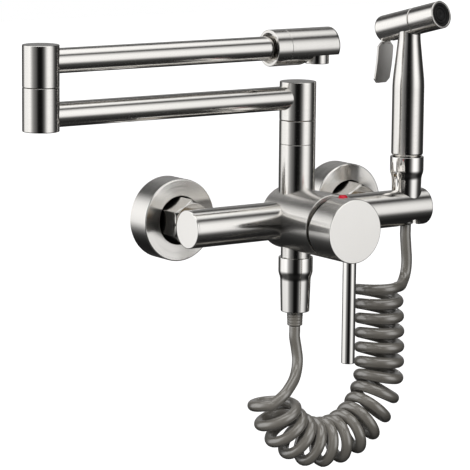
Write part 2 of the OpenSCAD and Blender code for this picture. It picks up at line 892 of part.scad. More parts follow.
module handle_cap() {
    color(steel)
        difference() {
            translate([0, cap_face_y, 0]) along_y() stock(body_d, cap_len, edge, edge);
            translate([0, cap_back_y - pocket_depth, 0])
                along_y() ring(pocket_d, boss_d, through);
            translate([0, cap_back_y - boss_depth, 0])
                along_y() cylinder(d = boss_d + 1, h = through);
            translate([-through / 2, cap_back_y, 0])
                rotate([cap_slant, 0, 0]) cube([through, through, through]);
            translate([-stem_side / 2 - fit_gap, cap_back_y - stem_depth - 0.7, -stem_side / 2 - fit_gap])
                cube([stem_side + 2 * fit_gap, through, stem_side + 2 * fit_gap]);
            translate([0, cap_back_y - screw_depth, 0]) {
                cylinder(d = screw_d + 2 * fit_gap, h = through);
                translate([0, 0, boss_d / 2]) cylinder(d = plug_d + 2 * fit_gap, h = through);
                translate([0, 0, body_d / 2 - 1.2]) cylinder(d1 = plug_d + 0.4, d2 = plug_d + 3.2, h = 1.4);
            }
            translate([0, lever_y, -through - lever_root])
                cylinder(d = lever_d + 2 * fit_gap, h = through);
        }
}

module handle_screw() {
    color(black)
        translate([0, cap_back_y - screw_depth, stem_side / 2 + 2 * fit_gap]) difference() {
            stock(screw_d, 5.5, 0.8, 0.4);
            translate([0, 0, 2.5]) cylinder(d = 2.9, h = 4, $fn = 6);
        }
}

module index_plug() {
    color(red)
        translate([0, cap_back_y - screw_depth, pocket_d / 2])
            stock(plug_d, body_d / 2 - pocket_d / 2 - 0.9, 0, 0.5);
}

module lever_rod() {
    color(chrome)
        translate([0, lever_y, -lever_reach])
            stock(lever_d, lever_reach - lever_root - fit_gap, 0.4, 0.5);
}

// Hose ends: nut, washer and ferrule, with the nut's wide end at z = 0 and the rest below it

module hose_nut() {
    rotate_extrude()
        polygon([[hose_thread_d / 2 + fit_gap, 0], [hose_nut_d / 2 - 0.4, 0], [hose_nut_d / 2, -0.4],
                 [hose_nut_d / 2, -nut_shoulder], [cone_d / 2, -nut_shoulder - nut_taper],
                 [cone_end_d / 2, 0.4 - hose_nut_len], [cone_end_d / 2 - 0.4, -hose_nut_len],
                 [hose_nut_bore / 2, -hose_nut_len], [hose_nut_bore / 2, -nut_thread_depth],
                 [hose_thread_d / 2 + fit_gap, -nut_thread_depth]]);
}

module hose_washer() {
    translate([0, 0, -hose_thread_len - hose_washer_t])
        ring(hose_thread_d - 0.6, hose_washer_bore, hose_washer_t);
}

relief_steps = 5;
relief_end_d = relief_d - 0.8;

// Ferrule in the nut, then a strain relief with a small groove between its steps
module hose_ferrule() {
    step = relief_len / relief_steps;
    difference() {
        union() {
            translate([0, 0, -nut_thread_depth + fit_gap])
                cylinder(d = hose_thread_d - 0.6,
                         h = nut_thread_depth - fit_gap - hose_thread_len - hose_washer_t);
            translate([0, 0, -hose_nut_len])
                cylinder(d = ferrule_d, h = hose_nut_len - nut_thread_depth + fit_gap);
            for (k = [0 : relief_steps - 1])
                translate([0, 0, -hose_nut_len - (k + 1) * step])
                    stock(relief_d - (relief_d - relief_end_d) * k / (relief_steps - 1),
                          step, 0.45, 0);
        }
        translate([0, 0, -through / 2]) cylinder(d = 5, h = through);
    }
}

module at_outlet() {
    translate([0, -bar_out, -outlet_drop]) children();
}

module at_spray_nut() {
    at_cradle() translate([0, 0, spray_nut_z]) children();
}

module outlet_nut() {
    color(chrome) at_outlet() hose_nut();
}

module outlet_washer() {
    color(rubber) at_outlet() hose_washer();
}

module outlet_ferrule() {
    color(hose_grey) at_outlet() hose_ferrule();
}

module spray_nut() {
    color(chrome) at_spray_nut() hose_nut();
}

module spray_washer() {
    color(rubber) at_spray_nut() hose_washer();
}

module spray_ferrule() {
    color(hose_grey) at_spray_nut() hose_ferrule();
}

// Curly hose: the curls wind about a leg and a half loop, right-handed as seen along the route

hose_end = -hose_nut_len - relief_len;
outlet_exit = [0, -bar_out, -outlet_drop + hose_end];
spray_exit = [cradle_x, -bar_out, spray_nut_z + hose_end];
loop_len = loop_r * loop_sweep * PI / 180;
leg_turns = leg_len / leg_pitch;
loop_pitch = loop_len / (curls - leg_turns);

// Distance run along the coil's axis after t turns
function run_at(t) = t < leg_turns ? t * leg_pitch : leg_len + (t - leg_turns) * loop_pitch;

leg_centre = leg_top - leg_bend_r * [cos(leg_lean), sin(leg_lean)];
loop_start = leg_lean - leg_len / leg_bend_r * 180 / PI;
loop_centre = leg_centre + (leg_bend_r - loop_r) * [cos(loop_start), sin(loop_start)];

// Angle of the axis's outward normal at a distance along the axis
function axis_angle(s) = s < leg_len ? leg_lean - s / leg_bend_r * 180 / PI
                                     : loop_start - (s - leg_len) / loop_r * 180 / PI;

function axis_point(s) =
    let (a = axis_angle(s),
         c = s < leg_len ? leg_centre : loop_centre,
         r = s < leg_len ? leg_bend_r : loop_r)
    [c[0] + r * cos(a), -bar_out, c[1] + r * sin(a)];

// The curls don't stand square to the axis: their outer ends hang lower by the tilt
function curl_point(t) =
    let (s = run_at(t), b = axis_angle(s) + turn_tilt, q = first_curl + 360 * t)
    axis_point(s) + curl_r * (cos(q) * [cos(b), 0, sin(b)] + sin(q) * [0, -1, 0]);

curl_points = [for (t = [0 : 1 / curl_rings : curls]) curl_point(t)];

hose_path = concat([for (p = spray_lead) spray_exit + p],
                   curl_points,
                   [for (i = [len(outlet_lead) - 1 : -1 : 0]) outlet_exit + outlet_lead[i]]);

// Least gap of a tube to itself, between points that lie more than half a curl apart
function least_gap(p, skip, d) = min([
    for (i = [0 : len(p) - skip - 1], j = [i + skip : len(p) - 1]) norm(p[i] - p[j])]) - d;

function path_len(p) = [for (i = [1 : len(p) - 1]) norm(p[i] - p[i - 1])] * [for (i = [1 : len(p) - 1]) 1];

module curly_hose() {
    echo(hose_gap = least_gap(hose_path, 5, hose_d), hose_length = path_len(hose_path));
    color(hose_grey)
        swept_tube(hose_path, hose_d, hose_sides, [1, 0, 0]);
}

// Sprayer

module spray_handle() {
    shoulder_z = handle_len + taper_len;
    color(steel)
        difference() {
            at_cradle()
                translate([0, 0, handle_z])
                    rotate_extrude()
                        polygon([[hose_thread_d / 2 - 3, -hose_thread_len - spray_seat],
                                 [hose_thread_d / 2 - 0.5, -hose_thread_len - spray_seat],
                                 [hose_thread_d / 2, -hose_thread_len - spray_seat + 0.5],
                                 [hose_thread_d / 2, 0], [handle_d / 2 - 1.4, 0],
                                 [handle_d / 2 - 0.4, 0.6], [handle_d / 2, 1.6],
                                 [handle_d / 2, handle_len], [handle_neck_d / 2, shoulder_z],
                                 [handle_neck_d / 2, shoulder_z + head_rise - 2],
                                 [handle_neck_d / 2 - 3, shoulder_z + head_rise - 2],
                                 [handle_neck_d / 2 - 3, shoulder_z],
                                 [hose_thread_d / 2 - 3, handle_len - 4]]);
            at_head()
                translate([0, -head_front, 0])
                    along_y() cylinder(d = head_d, h = head_front + head_back);
        }
}

module spray_head() {
    color(steel)
        difference() {
            at_head() difference() {
                union() {
                    translate([0, -nozzle_seam, 0])
                        along_y() rounded_stock(head_d, nozzle_seam + head_back, 2.5);
                    translate([0, -nozzle_seam - 5, 0])
                        along_y() cylinder(d = head_d - 3 - 2 * fit_gap, h = 6);
                }
                translate([-slot_w / 2, slot_back, -head_d])
                    cube([slot_w, head_d, head_d + pin_rise + knuckle_r + 0.8]);
                translate([-pin_len / 2 - fit_gap, pin_back, pin_rise])
                    along_x() cylinder(d = pin_d + fit_gap, h = pin_len + 2 * fit_gap);
                translate([0, 0, -stem_drop]) {
                    along_y() cylinder(d = valve_d + 2 * run_gap, h = slot_back + 1);
                    along_y() cylinder(d = valve_seat_d, h = 8);
                    translate([0, -head_d, 0]) along_y() cylinder(d = valve_chamber_d, h = head_d);
                }
            }
            at_cradle()
                translate([0, valve_inlet_back, head_z - head_d])
                    cylinder(d = valve_seat_d, h = head_d - stem_drop);
        }
}

module nozzle_sleeve() {
    color(steel)
        at_head()
            translate([0, -head_front, 0])
                along_y() ring(head_d, head_d - 3, head_front - nozzle_seam, 0.4, 0.2);
}

module nozzle_plate() {
    color(black)
        at_head()
            translate([0, -head_front + 1, 0]) difference() {
                along_y() stock(head_d - 3 - 2 * fit_gap, 3, 0, 0);
                translate([0, -1, 0]) along_y() {
                    for (r = nozzle_grooves) ring(2 * r + 1.6, 2 * r, 1.6);
                    for (k = [0 : 11])
                        rotate([0, 0, 30 * k])
                            translate([jet_rows[1], 0, -1]) cylinder(d = jet_d, h = 8, $fn = 6);
                    for (k = [0 : 5])
                        rotate([0, 0, 60 * k])
                            translate([jet_rows[0], 0, -1]) cylinder(d = jet_d, h = 8, $fn = 6);
                }
            }
}

// Poppet valve: the stem pushes its head forward, off the seat in the spray head
module valve_stem() {
    color(brass)
        at_head()
            translate([0, 0, -stem_drop]) {
                translate([0, -2 - face_gap, 0])
                    along_y() stock(valve_d, stem_end + 2 + face_gap, 0, 0.6);
                translate([0, -2 - face_gap, 0])
                    along_y() stock(valve_head_d, 2, 0.4, 0);
            }
}

spring_len = stem_end + face_gap - slot_back - 2 * fit_gap;
spring_path = [for (t = [0 : 1 / curl_rings : spring_turns])
    [spring_r * cos(360 * t),
     slot_back + fit_gap + spring_d / 2 + (spring_len - spring_d) * t / spring_turns,
     spring_r * sin(360 * t)]];

module trigger_spring() {
    echo(spring_gap = least_gap(spring_path, 5, spring_d));
    color(chrome)
        at_head()
            translate([0, 0, -stem_drop])
                swept_tube(spring_path, spring_d, hose_sides, [1, 0, 0]);
}

module trigger_pin() {
    color(chrome)
        at_head()
            translate([-pin_len / 2, pin_back, pin_rise])
                along_x() cylinder(d = pin_d, h = pin_len);
}

// Side view of the trigger's plate in the sprayer's upright frame, y backwards and z up
function plate_y(f) = trigger_top[0] + trigger_lean * f - 0.8 * sin(180 * f);

module trigger_side() {
    steps = 8;
    polygon(concat([for (k = [0 : steps]) [plate_y(k / steps), trigger_top[1] - trigger_h * k / steps]],
                   [for (k = [steps : -1 : 0])
                    [plate_y(k / steps) + trigger_t, trigger_top[1] - trigger_h * k / steps]]));
}

// Top of the plate as seen along the head: y backwards and z up from the head's axis
function in_head(p) = [p[0] * cos(head_tilt) - p[1] * sin(head_tilt),
                       p[0] * sin(head_tilt) + p[1] * cos(head_tilt)];

module tongue_side() {
    front = stem_end + face_gap;
    root = in_head([trigger_top[0], trigger_top[1] - 2.5]);
    back = in_head([trigger_top[0] + trigger_t, trigger_top[1] - 0.5]);
    polygon([[pin_back - 1, pin_rise], [front, pin_rise - knuckle_r + 0.6],
             [front, -stem_drop - valve_d / 2 - 0.5], root, back,
             [pin_back + knuckle_r - 0.6, pin_rise - 1.6]]);
}

module trigger_front() {
    w = trigger_w / 2;
    top = trigger_top[1];
    polygon([[-w + 3.5, top], [w - 3.5, top], [w, top - 5], [w, top - trigger_h + 3],
             [w - 3.3, top - trigger_h], [3.3 - w, top - trigger_h], [-w, top - trigger_h + 3],
             [-w, top - 5]]);
}

// Extrudes a (y, z) side view to a width along x
module from_side(width) {
    translate([-width / 2, 0, 0])
        rotate([90, 0, 90]) linear_extrude(height = width) children();
}

module trigger() {
    color(chrome)
        difference() {
            union() {
                at_cradle()
                    translate([0, 0, head_z]) intersection() {
                        from_side(trigger_w + 2) trigger_side();
                        rotate([90, 0, 0])
                            linear_extrude(height = through, center = true) trigger_front();
                    }
                at_head() {
                    from_side(tongue_w) tongue_side();
                    translate([-tongue_w / 2, pin_back, pin_rise])
                        along_x() cylinder(r = knuckle_r, h = tongue_w);
                }
            }
            at_head()
                translate([-tongue_w, pin_back, pin_rise])
                    along_x() cylinder(d = pin_d + 2 * run_gap, h = 2 * tongue_w);
        }
}

wall_unions();
wall_flanges();
union_washers();
union_nuts();
inlet_tails();
mixer_body();
bar_end_plug();
column_collar();
swivel_glide_ring();
swivel_tube();
swivel_o_rings();
arm_socket();
lower_arm_tube();
lower_knuckle();
knuckle_plug();
knuckle_glide_ring();
knuckle_pivot();
knuckle_o_rings();
knuckle_clip();
upper_knuckle();
upper_arm_tube();
spout_spigot();
spout_o_rings();
spout_sleeve();
spout_head();
aerator_housing();
aerator_insert();
cartridge();
cartridge_nut();
cartridge_rotor();
tilt_pin();
cartridge_stem();
handle_cap();
handle_screw();
index_plug();
lever_rod();
outlet_nut();
outlet_washer();
outlet_ferrule();
curly_hose();
spray_nut();
spray_washer();
spray_ferrule();
spray_handle();
spray_head();
nozzle_sleeve();
nozzle_plate();
valve_stem();
trigger_spring();
trigger_pin();
trigger();
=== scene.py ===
# %% [markdown]
# # A wall-mounted kitchen mixer with a folding filler arm and a hand sprayer
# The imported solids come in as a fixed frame, in metres. Everything below dresses that frame:
# turned steel parts are worked out again with softened edges, the curly hose is swept along
# its route, and each finish is a small node tree.

# %% Load the frame
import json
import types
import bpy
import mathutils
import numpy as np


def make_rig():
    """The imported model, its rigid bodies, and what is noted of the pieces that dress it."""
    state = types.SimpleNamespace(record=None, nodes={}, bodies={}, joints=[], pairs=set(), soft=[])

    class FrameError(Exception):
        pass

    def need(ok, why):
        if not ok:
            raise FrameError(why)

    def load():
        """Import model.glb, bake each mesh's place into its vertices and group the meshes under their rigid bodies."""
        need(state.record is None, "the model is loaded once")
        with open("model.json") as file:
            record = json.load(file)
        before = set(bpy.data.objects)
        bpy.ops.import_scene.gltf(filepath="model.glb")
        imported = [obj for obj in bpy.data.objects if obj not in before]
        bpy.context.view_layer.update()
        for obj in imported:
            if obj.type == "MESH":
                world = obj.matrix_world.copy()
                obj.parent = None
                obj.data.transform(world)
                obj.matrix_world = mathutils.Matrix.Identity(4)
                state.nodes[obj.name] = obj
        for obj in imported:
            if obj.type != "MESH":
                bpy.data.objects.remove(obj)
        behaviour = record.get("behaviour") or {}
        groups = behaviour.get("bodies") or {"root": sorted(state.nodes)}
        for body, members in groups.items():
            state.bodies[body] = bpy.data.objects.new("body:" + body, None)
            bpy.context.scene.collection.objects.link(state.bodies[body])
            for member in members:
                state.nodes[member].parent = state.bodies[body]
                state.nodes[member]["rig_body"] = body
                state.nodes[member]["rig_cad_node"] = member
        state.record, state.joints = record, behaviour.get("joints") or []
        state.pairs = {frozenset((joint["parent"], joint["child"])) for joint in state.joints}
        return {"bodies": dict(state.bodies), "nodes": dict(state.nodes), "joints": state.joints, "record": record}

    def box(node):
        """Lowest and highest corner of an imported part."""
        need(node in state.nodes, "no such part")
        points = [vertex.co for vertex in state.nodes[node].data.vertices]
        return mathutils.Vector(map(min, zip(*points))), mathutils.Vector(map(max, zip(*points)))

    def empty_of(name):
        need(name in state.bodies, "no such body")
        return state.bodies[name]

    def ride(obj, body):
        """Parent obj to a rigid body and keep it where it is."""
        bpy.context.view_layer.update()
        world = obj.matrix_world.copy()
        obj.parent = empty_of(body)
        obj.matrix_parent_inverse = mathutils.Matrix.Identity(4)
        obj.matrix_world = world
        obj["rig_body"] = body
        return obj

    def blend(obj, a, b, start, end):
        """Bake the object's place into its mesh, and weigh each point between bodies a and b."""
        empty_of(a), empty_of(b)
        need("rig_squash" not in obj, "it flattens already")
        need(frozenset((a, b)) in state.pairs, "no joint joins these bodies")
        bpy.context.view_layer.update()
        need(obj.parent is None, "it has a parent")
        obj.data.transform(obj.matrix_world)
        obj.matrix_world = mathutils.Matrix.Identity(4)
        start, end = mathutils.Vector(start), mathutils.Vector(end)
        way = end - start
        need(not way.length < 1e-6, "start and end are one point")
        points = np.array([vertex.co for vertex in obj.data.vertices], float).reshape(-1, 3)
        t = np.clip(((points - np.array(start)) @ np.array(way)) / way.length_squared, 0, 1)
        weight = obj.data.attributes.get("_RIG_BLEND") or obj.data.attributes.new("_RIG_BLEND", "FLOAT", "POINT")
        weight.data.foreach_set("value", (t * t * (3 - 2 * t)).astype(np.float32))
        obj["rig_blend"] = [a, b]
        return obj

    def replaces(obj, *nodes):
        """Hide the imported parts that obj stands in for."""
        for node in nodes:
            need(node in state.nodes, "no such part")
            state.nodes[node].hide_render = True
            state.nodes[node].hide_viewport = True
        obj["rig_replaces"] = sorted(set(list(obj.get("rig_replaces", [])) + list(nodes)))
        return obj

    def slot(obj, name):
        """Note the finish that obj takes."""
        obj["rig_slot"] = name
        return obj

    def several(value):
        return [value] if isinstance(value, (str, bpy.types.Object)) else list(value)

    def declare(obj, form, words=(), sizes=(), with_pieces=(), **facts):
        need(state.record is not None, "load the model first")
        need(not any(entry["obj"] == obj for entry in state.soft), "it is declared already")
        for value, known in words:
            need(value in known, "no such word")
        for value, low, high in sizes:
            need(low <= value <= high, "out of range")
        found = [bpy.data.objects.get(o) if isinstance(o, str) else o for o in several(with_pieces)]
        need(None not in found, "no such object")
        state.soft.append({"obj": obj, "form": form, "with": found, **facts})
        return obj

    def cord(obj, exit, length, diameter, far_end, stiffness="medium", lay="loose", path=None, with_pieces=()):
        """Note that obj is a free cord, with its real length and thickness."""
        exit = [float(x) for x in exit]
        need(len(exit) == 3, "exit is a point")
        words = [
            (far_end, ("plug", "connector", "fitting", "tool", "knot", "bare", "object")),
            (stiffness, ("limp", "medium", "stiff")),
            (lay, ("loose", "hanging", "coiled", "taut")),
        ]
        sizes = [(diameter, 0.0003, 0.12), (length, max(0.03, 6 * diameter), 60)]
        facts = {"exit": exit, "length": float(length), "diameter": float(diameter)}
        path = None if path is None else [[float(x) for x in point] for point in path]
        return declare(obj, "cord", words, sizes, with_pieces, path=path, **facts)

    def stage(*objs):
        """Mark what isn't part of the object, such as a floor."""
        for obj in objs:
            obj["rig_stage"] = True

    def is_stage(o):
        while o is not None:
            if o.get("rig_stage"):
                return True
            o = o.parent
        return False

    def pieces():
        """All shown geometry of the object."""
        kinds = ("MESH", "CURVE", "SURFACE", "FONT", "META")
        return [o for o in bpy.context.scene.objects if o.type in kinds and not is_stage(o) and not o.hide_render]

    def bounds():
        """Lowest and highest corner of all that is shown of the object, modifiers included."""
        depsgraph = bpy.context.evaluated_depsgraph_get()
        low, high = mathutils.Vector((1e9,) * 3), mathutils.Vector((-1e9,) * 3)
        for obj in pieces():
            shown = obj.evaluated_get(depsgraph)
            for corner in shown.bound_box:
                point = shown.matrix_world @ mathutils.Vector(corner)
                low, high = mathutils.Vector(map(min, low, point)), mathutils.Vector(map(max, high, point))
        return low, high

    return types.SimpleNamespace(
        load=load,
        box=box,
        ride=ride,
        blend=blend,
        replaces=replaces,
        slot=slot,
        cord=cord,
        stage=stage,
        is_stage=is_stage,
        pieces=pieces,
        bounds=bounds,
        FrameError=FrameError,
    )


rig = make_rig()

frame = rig.load()

import json
import math

import bmesh
import bpy
import numpy as np
from mathutils import Matrix

MM = 0.001
nodes = frame["nodes"]
cad_bounds = [list(corner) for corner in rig.bounds()]
print("solids:", len(nodes), "box:", cad_bounds)

# %% [markdown]
# ## Camera
# The photograph was taken with a long lens from the left and a little above. Its place, its
# turn and its focal length were fitted to the ends and seams of the tap, so the picture and
# the model share one frame.

# %% Camera
PHOTO_SIDE = 470
FOCAL_PIXELS = 2749.97
CAMERA_PLACE = np.array([-1.151422, -1.615662, 0.309814])
YAW, PITCH, ROLL = np.radians([35.158, 9.441, 0.556])
look = np.array([math.sin(YAW) * math.cos(PITCH), math.cos(YAW) * math.cos(PITCH),
                 -math.sin(PITCH)])
level = np.array([math.cos(YAW), -math.sin(YAW), 0.0])
upward = np.cross(level, look)
right = level * math.cos(ROLL) + upward * math.sin(ROLL)
up = upward * math.cos(ROLL) - level * math.sin(ROLL)

lens = bpy.data.cameras.new("camera")
lens.sensor_width = 36
lens.lens = FOCAL_PIXELS / PHOTO_SIDE * lens.sensor_width
lens.clip_start, lens.clip_end = 0.05, 100
camera = bpy.data.objects.new("camera", lens)
stand = np.eye(4)
stand[:3, 0], stand[:3, 1], stand[:3, 2], stand[:3, 3] = right, up, -look, CAMERA_PLACE
camera.matrix_world = Matrix(stand.tolist())
bpy.context.scene.collection.objects.link(camera)
bpy.context.scene.camera = camera
print("camera:", round(lens.lens, 1), "mm lens")

# %% [markdown]
# ## Places
# The tap is turned and drilled along a few axes. Each axis is a frame of its own: a part is
# worked out with its axis along z, and the frame then lays it on the bar, across the body,
# up the column or along the sprayer's head. The numbers are read off the solids where the
# solids show them.


# %% Axes of the tap
def middle(node):
    """Centre of a node's box: half the sum of its lowest and highest corners."""
    low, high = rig.box(node)
    return np.array((low + high) / 2)


def axes(origin, along, across):
    """Frame whose z runs along one direction and whose x is another direction made square to it."""
    z = np.array(along, float) / np.linalg.norm(along)
    x = np.array(across, float) - np.dot(across, z) * z
    x /= np.linalg.norm(x)
    place = np.eye(4)
    place[:3, 0], place[:3, 1], place[:3, 2], place[:3, 3] = x, np.cross(z, x), z, origin
    return place


BAR_OUT = -middle("arm_socket")[1]
flanges_low, flanges_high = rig.box("wall_flanges")
INLET = flanges_high.x - (flanges_high.z - flanges_low.z) / 2
KNUCKLE_X = middle("upper_knuckle")[0]
LOWER_Z = middle("lower_arm_tube")[2]
UPPER_Z = middle("upper_arm_tube")[2]
CRADLE = np.array([0.100, -BAR_OUT, 0.0])
SPRAY_TURN = math.radians(8)
HEAD_TILT = math.radians(14.4)
HEAD_RISE = 0.1356

sprays = np.array([math.sin(SPRAY_TURN), -math.cos(SPRAY_TURN), 0.0])
sideways = np.array([math.cos(SPRAY_TURN), math.sin(SPRAY_TURN), 0.0])
aim = sprays * math.cos(HEAD_TILT) + np.array([0, 0, math.sin(HEAD_TILT)])

along_bar = axes([0, -BAR_OUT, 0], [1, 0, 0], [0, 0, 1])
across_body = axes([0, 0, 0], [0, -1, 0], [1, 0, 0])
up_column = axes([0, -BAR_OUT, 0], [0, 0, 1], [1, 0, 0])
up_knuckle = axes([KNUCKLE_X, -BAR_OUT, 0], [0, 0, 1], [1, 0, 0])
along_lower = axes([0, -BAR_OUT, LOWER_Z], [1, 0, 0], [0, 0, 1])
along_upper = axes([0, -BAR_OUT, UPPER_Z], [1, 0, 0], [0, 0, 1])
up_sprayer = axes(CRADLE, [0, 0, 1], sideways)
along_head = axes(CRADLE + [0, 0, HEAD_RISE], aim, sideways)
print("bar", BAR_OUT, "inlets", INLET, "arms", LOWER_Z, UPPER_Z, "knuckle", KNUCKLE_X)

# %% [markdown]
# ## Finishes
# Steel parts are brushed: fine scratches run round a turned part or along a drawn tube, and
# they spread a highlight across themselves. That is an anisotropic metal whose tangent
# follows the part's own UV map, with a streaky noise for roughness and a faint bump.
# The small helpers below each add one step to a material's node tree, so that a finish can
# then be written in a few lines.

# %% Node helpers
NOISE_RANGE = (0.3, 0.7)


def material(name):
    """A new material: the material itself, its tree and the Principled shader on its output."""
    made = bpy.data.materials.new(name)
    made.use_nodes = True
    tree = made.node_tree
    tree.nodes.clear()
    shader = tree.nodes.new("ShaderNodeBsdfPrincipled")
    output = tree.nodes.new("ShaderNodeOutputMaterial")
    tree.links.new(shader.outputs["BSDF"], output.inputs["Surface"])
    return made, tree, shader


def streaks(tree, source, stretch, detail=3.0):
    """Noise that is pulled long one way: coordinates times a stretch, then noise from 0 to 1."""
    place = tree.nodes.new("ShaderNodeTexCoord")
    scale = tree.nodes.new("ShaderNodeMapping")
    scale.inputs["Scale"].default_value = stretch
    noise = tree.nodes.new("ShaderNodeTexNoise")
    noise.inputs["Scale"].default_value = 1.0
    noise.inputs["Detail"].default_value = detail
    tree.links.new(place.outputs[source], scale.inputs["Vector"])
    tree.links.new(scale.outputs["Vector"], noise.inputs["Vector"])
    return noise.outputs["Fac"]


def spread(tree, value, low, high):
    """Maps the range that noise really fills onto low to high."""
    span = tree.nodes.new("ShaderNodeMapRange")
    sockets = ("From Min", "From Max", "To Min", "To Max")
    for socket, number in zip(sockets, (*NOISE_RANGE, low, high)):
        span.inputs[socket].default_value = number
    tree.links.new(value, span.inputs["Value"])
    return span.outputs["Result"]


def bump(tree, shader, value, strength, distance):
    """Height from a 0 to 1 value, as a bump on the shader's normal."""
    lift = tree.nodes.new("ShaderNodeBump")
    lift.inputs["Strength"].default_value = strength
    lift.inputs["Distance"].default_value = distance
    tree.links.new(value, lift.inputs["Height"])
    tree.links.new(lift.outputs["Normal"], shader.inputs["Normal"])


def tint(tree, shader, value, dark, light):
    """Base colour that drifts between two near colours."""
    mix = tree.nodes.new("ShaderNodeMix")
    mix.data_type = "RGBA"
    mix.inputs["A"].default_value = (*dark, 1)
    mix.inputs["B"].default_value = (*light, 1)
    tree.links.new(value, mix.inputs["Factor"])
    tree.links.new(mix.outputs["Result"], shader.inputs["Base Color"])


print("materials of the frame:", len(bpy.data.materials))

# %% [markdown]
# ## Metals
# The tap is drawn, turned and rolled stainless steel, with polished hose nuts and a polished
# lever. One function makes every steel, since they differ only in which way the scratches
# run, how rough they are, how far they pull a highlight and how far painted light lifts their
# colour or painted shade lowers it. A picture of brushed metal would be another way, but noise
# stretched along the part stays sharp close up and has no seams.

# %% Metals
STEEL_DARK, STEEL_LIGHT = np.array([0.81, 0.788, 0.755]), np.array([0.86, 0.843, 0.812])
SCRATCH_DEPTH, QUARTER_TURN = 0.00004, 0.25


def brushed_steel(name, source, stretch, spin, rough, pull=0.0, scratch=0.05, lift=0.0):
    """Brushed stainless steel. Scratches are streaks along the part's UV map or its own axes, and
    the highlight is pulled across them; spin turns that pull a quarter where it is needed, and
    lift lightens the steel as painted light, or darkens it below nought as painted shade."""
    made, tree, shader = material(name)
    grain = streaks(tree, source, stretch)
    cloud = streaks(tree, "Object", (28, 28, 28), 2.0)
    shader.inputs["Metallic"].default_value = 1.0
    tree.links.new(spread(tree, grain, *rough), shader.inputs["Roughness"])
    tint(tree, shader, cloud, (STEEL_DARK + lift).tolist(), (STEEL_LIGHT + lift).tolist())
    if source == "UV":
        shader.inputs["Anisotropic"].default_value = pull
        shader.inputs["Anisotropic Rotation"].default_value = spin
        tangent = tree.nodes.new("ShaderNodeTangent")
        tangent.direction_type = "UV_MAP"
        tangent.uv_map = "turning"
        tree.links.new(tangent.outputs["Tangent"], shader.inputs["Tangent"])
    bump(tree, shader, grain, scratch, SCRATCH_DEPTH)
    return made


def polished(name, dark, light, rough):
    """Polished metal with the cloudy wear of handling in its roughness."""
    made, tree, shader = material(name)
    cloud = streaks(tree, "Object", (90, 90, 90), 4.0)
    shader.inputs["Metallic"].default_value = 1.0
    tree.links.new(spread(tree, cloud, *rough), shader.inputs["Roughness"])
    tint(tree, shader, cloud, dark, light)
    return made


steel_turned = brushed_steel("steel brushed around", "UV", (2, 900, 1), QUARTER_TURN,
                             rough=(0.13, 0.18), pull=0.8, scratch=0.03)
steel_body = brushed_steel("steel brushed round the body", "UV", (2, 900, 1), QUARTER_TURN,
                           rough=(0.20, 0.24), pull=1.0, scratch=0.03)
# The flanges' steel is lifted lighter: painted light.
steel_faces = brushed_steel("steel brushed in rings", "UV", (2, 1100, 1), QUARTER_TURN,
                            rough=(0.16, 0.22), pull=0.85, scratch=0.06, lift=0.08)
steel_drawn = brushed_steel("steel brushed lengthwise", "UV", (150, 30, 1), 0.0,
                            rough=(0.12, 0.17), scratch=0.02)
steel_plain = brushed_steel("steel brushed on solids", "Object", (500, 500, 500), 0.0,
                            rough=(0.20, 0.26))
# A finer ground steel, and lifted lighter as painted light, for the cap's front and the bar's end plug.
steel_ground = brushed_steel("steel ground flat", "Object", (900, 900, 900), 0.0,
                             rough=(0.13, 0.17), scratch=0.01, lift=0.10)
# A darker copy of the steel for the union nuts: painted shade.
steel_dark = brushed_steel("steel darkened as painted shade", "Object", (500, 500, 500), 0.0,
                           rough=(0.16, 0.22), scratch=0.03, lift=-0.14)
# A rougher steel, lifted lighter as painted light, for the finger plate.
steel_sheet = brushed_steel("steel rolled flat", "Object", (500, 500, 500), 0.0,
                            rough=(0.40, 0.48), scratch=0.03, lift=0.08)
chrome = polished("polished chrome", (0.91, 0.893, 0.865), (0.96, 0.945, 0.918), (0.03, 0.05))
# Brass darkened far below its own colour: painted shade where it shows in the gaps.
brass = polished("brass darkened as painted shade", (0.20, 0.14, 0.07), (0.27, 0.19, 0.09), (0.38, 0.50))
# Near-black brass for the cartridge nut: painted shade.
painted_shade_black = polished("blackened brass", (0.020, 0.018, 0.015), (0.035, 0.031, 0.026),
                     (0.38, 0.50))
print("metals:", steel_turned.name, chrome.name, brass.name)

# %% [markdown]
# ## Plastics and rubber
# The hose is a soft grey plastic with a glossy skin, so its material has a clear coat over a
# duller base. The nozzle, the seals and the plug are moulded too and differ in grain and
# gloss alone. A fine bump keeps them from looking like poured paint.

# %% Plastics and rubber
COAT_INDEX, COAT_ROUGH, PORE_STRENGTH = 2.0, 0.12, 0.25


def moulded(name, dark, light, rough, grain, depth, coat=0.0, gloss=0.5):
    """Moulded plastic or rubber: a fine grain in bump and roughness, and a slow drift of colour."""
    made, tree, shader = material(name)
    cloud = streaks(tree, "Object", (45, 45, 45), 2.0)
    pores = streaks(tree, "Object", (grain, grain, grain), 3.0)
    tint(tree, shader, cloud, dark, light)
    tree.links.new(spread(tree, pores, *rough), shader.inputs["Roughness"])
    shader.inputs["Specular IOR Level"].default_value = gloss
    shader.inputs["Coat Weight"].default_value = coat
    shader.inputs["Coat IOR"].default_value = COAT_INDEX
    shader.inputs["Coat Roughness"].default_value = COAT_ROUGH
    bump(tree, shader, pores, PORE_STRENGTH, depth)
    return made


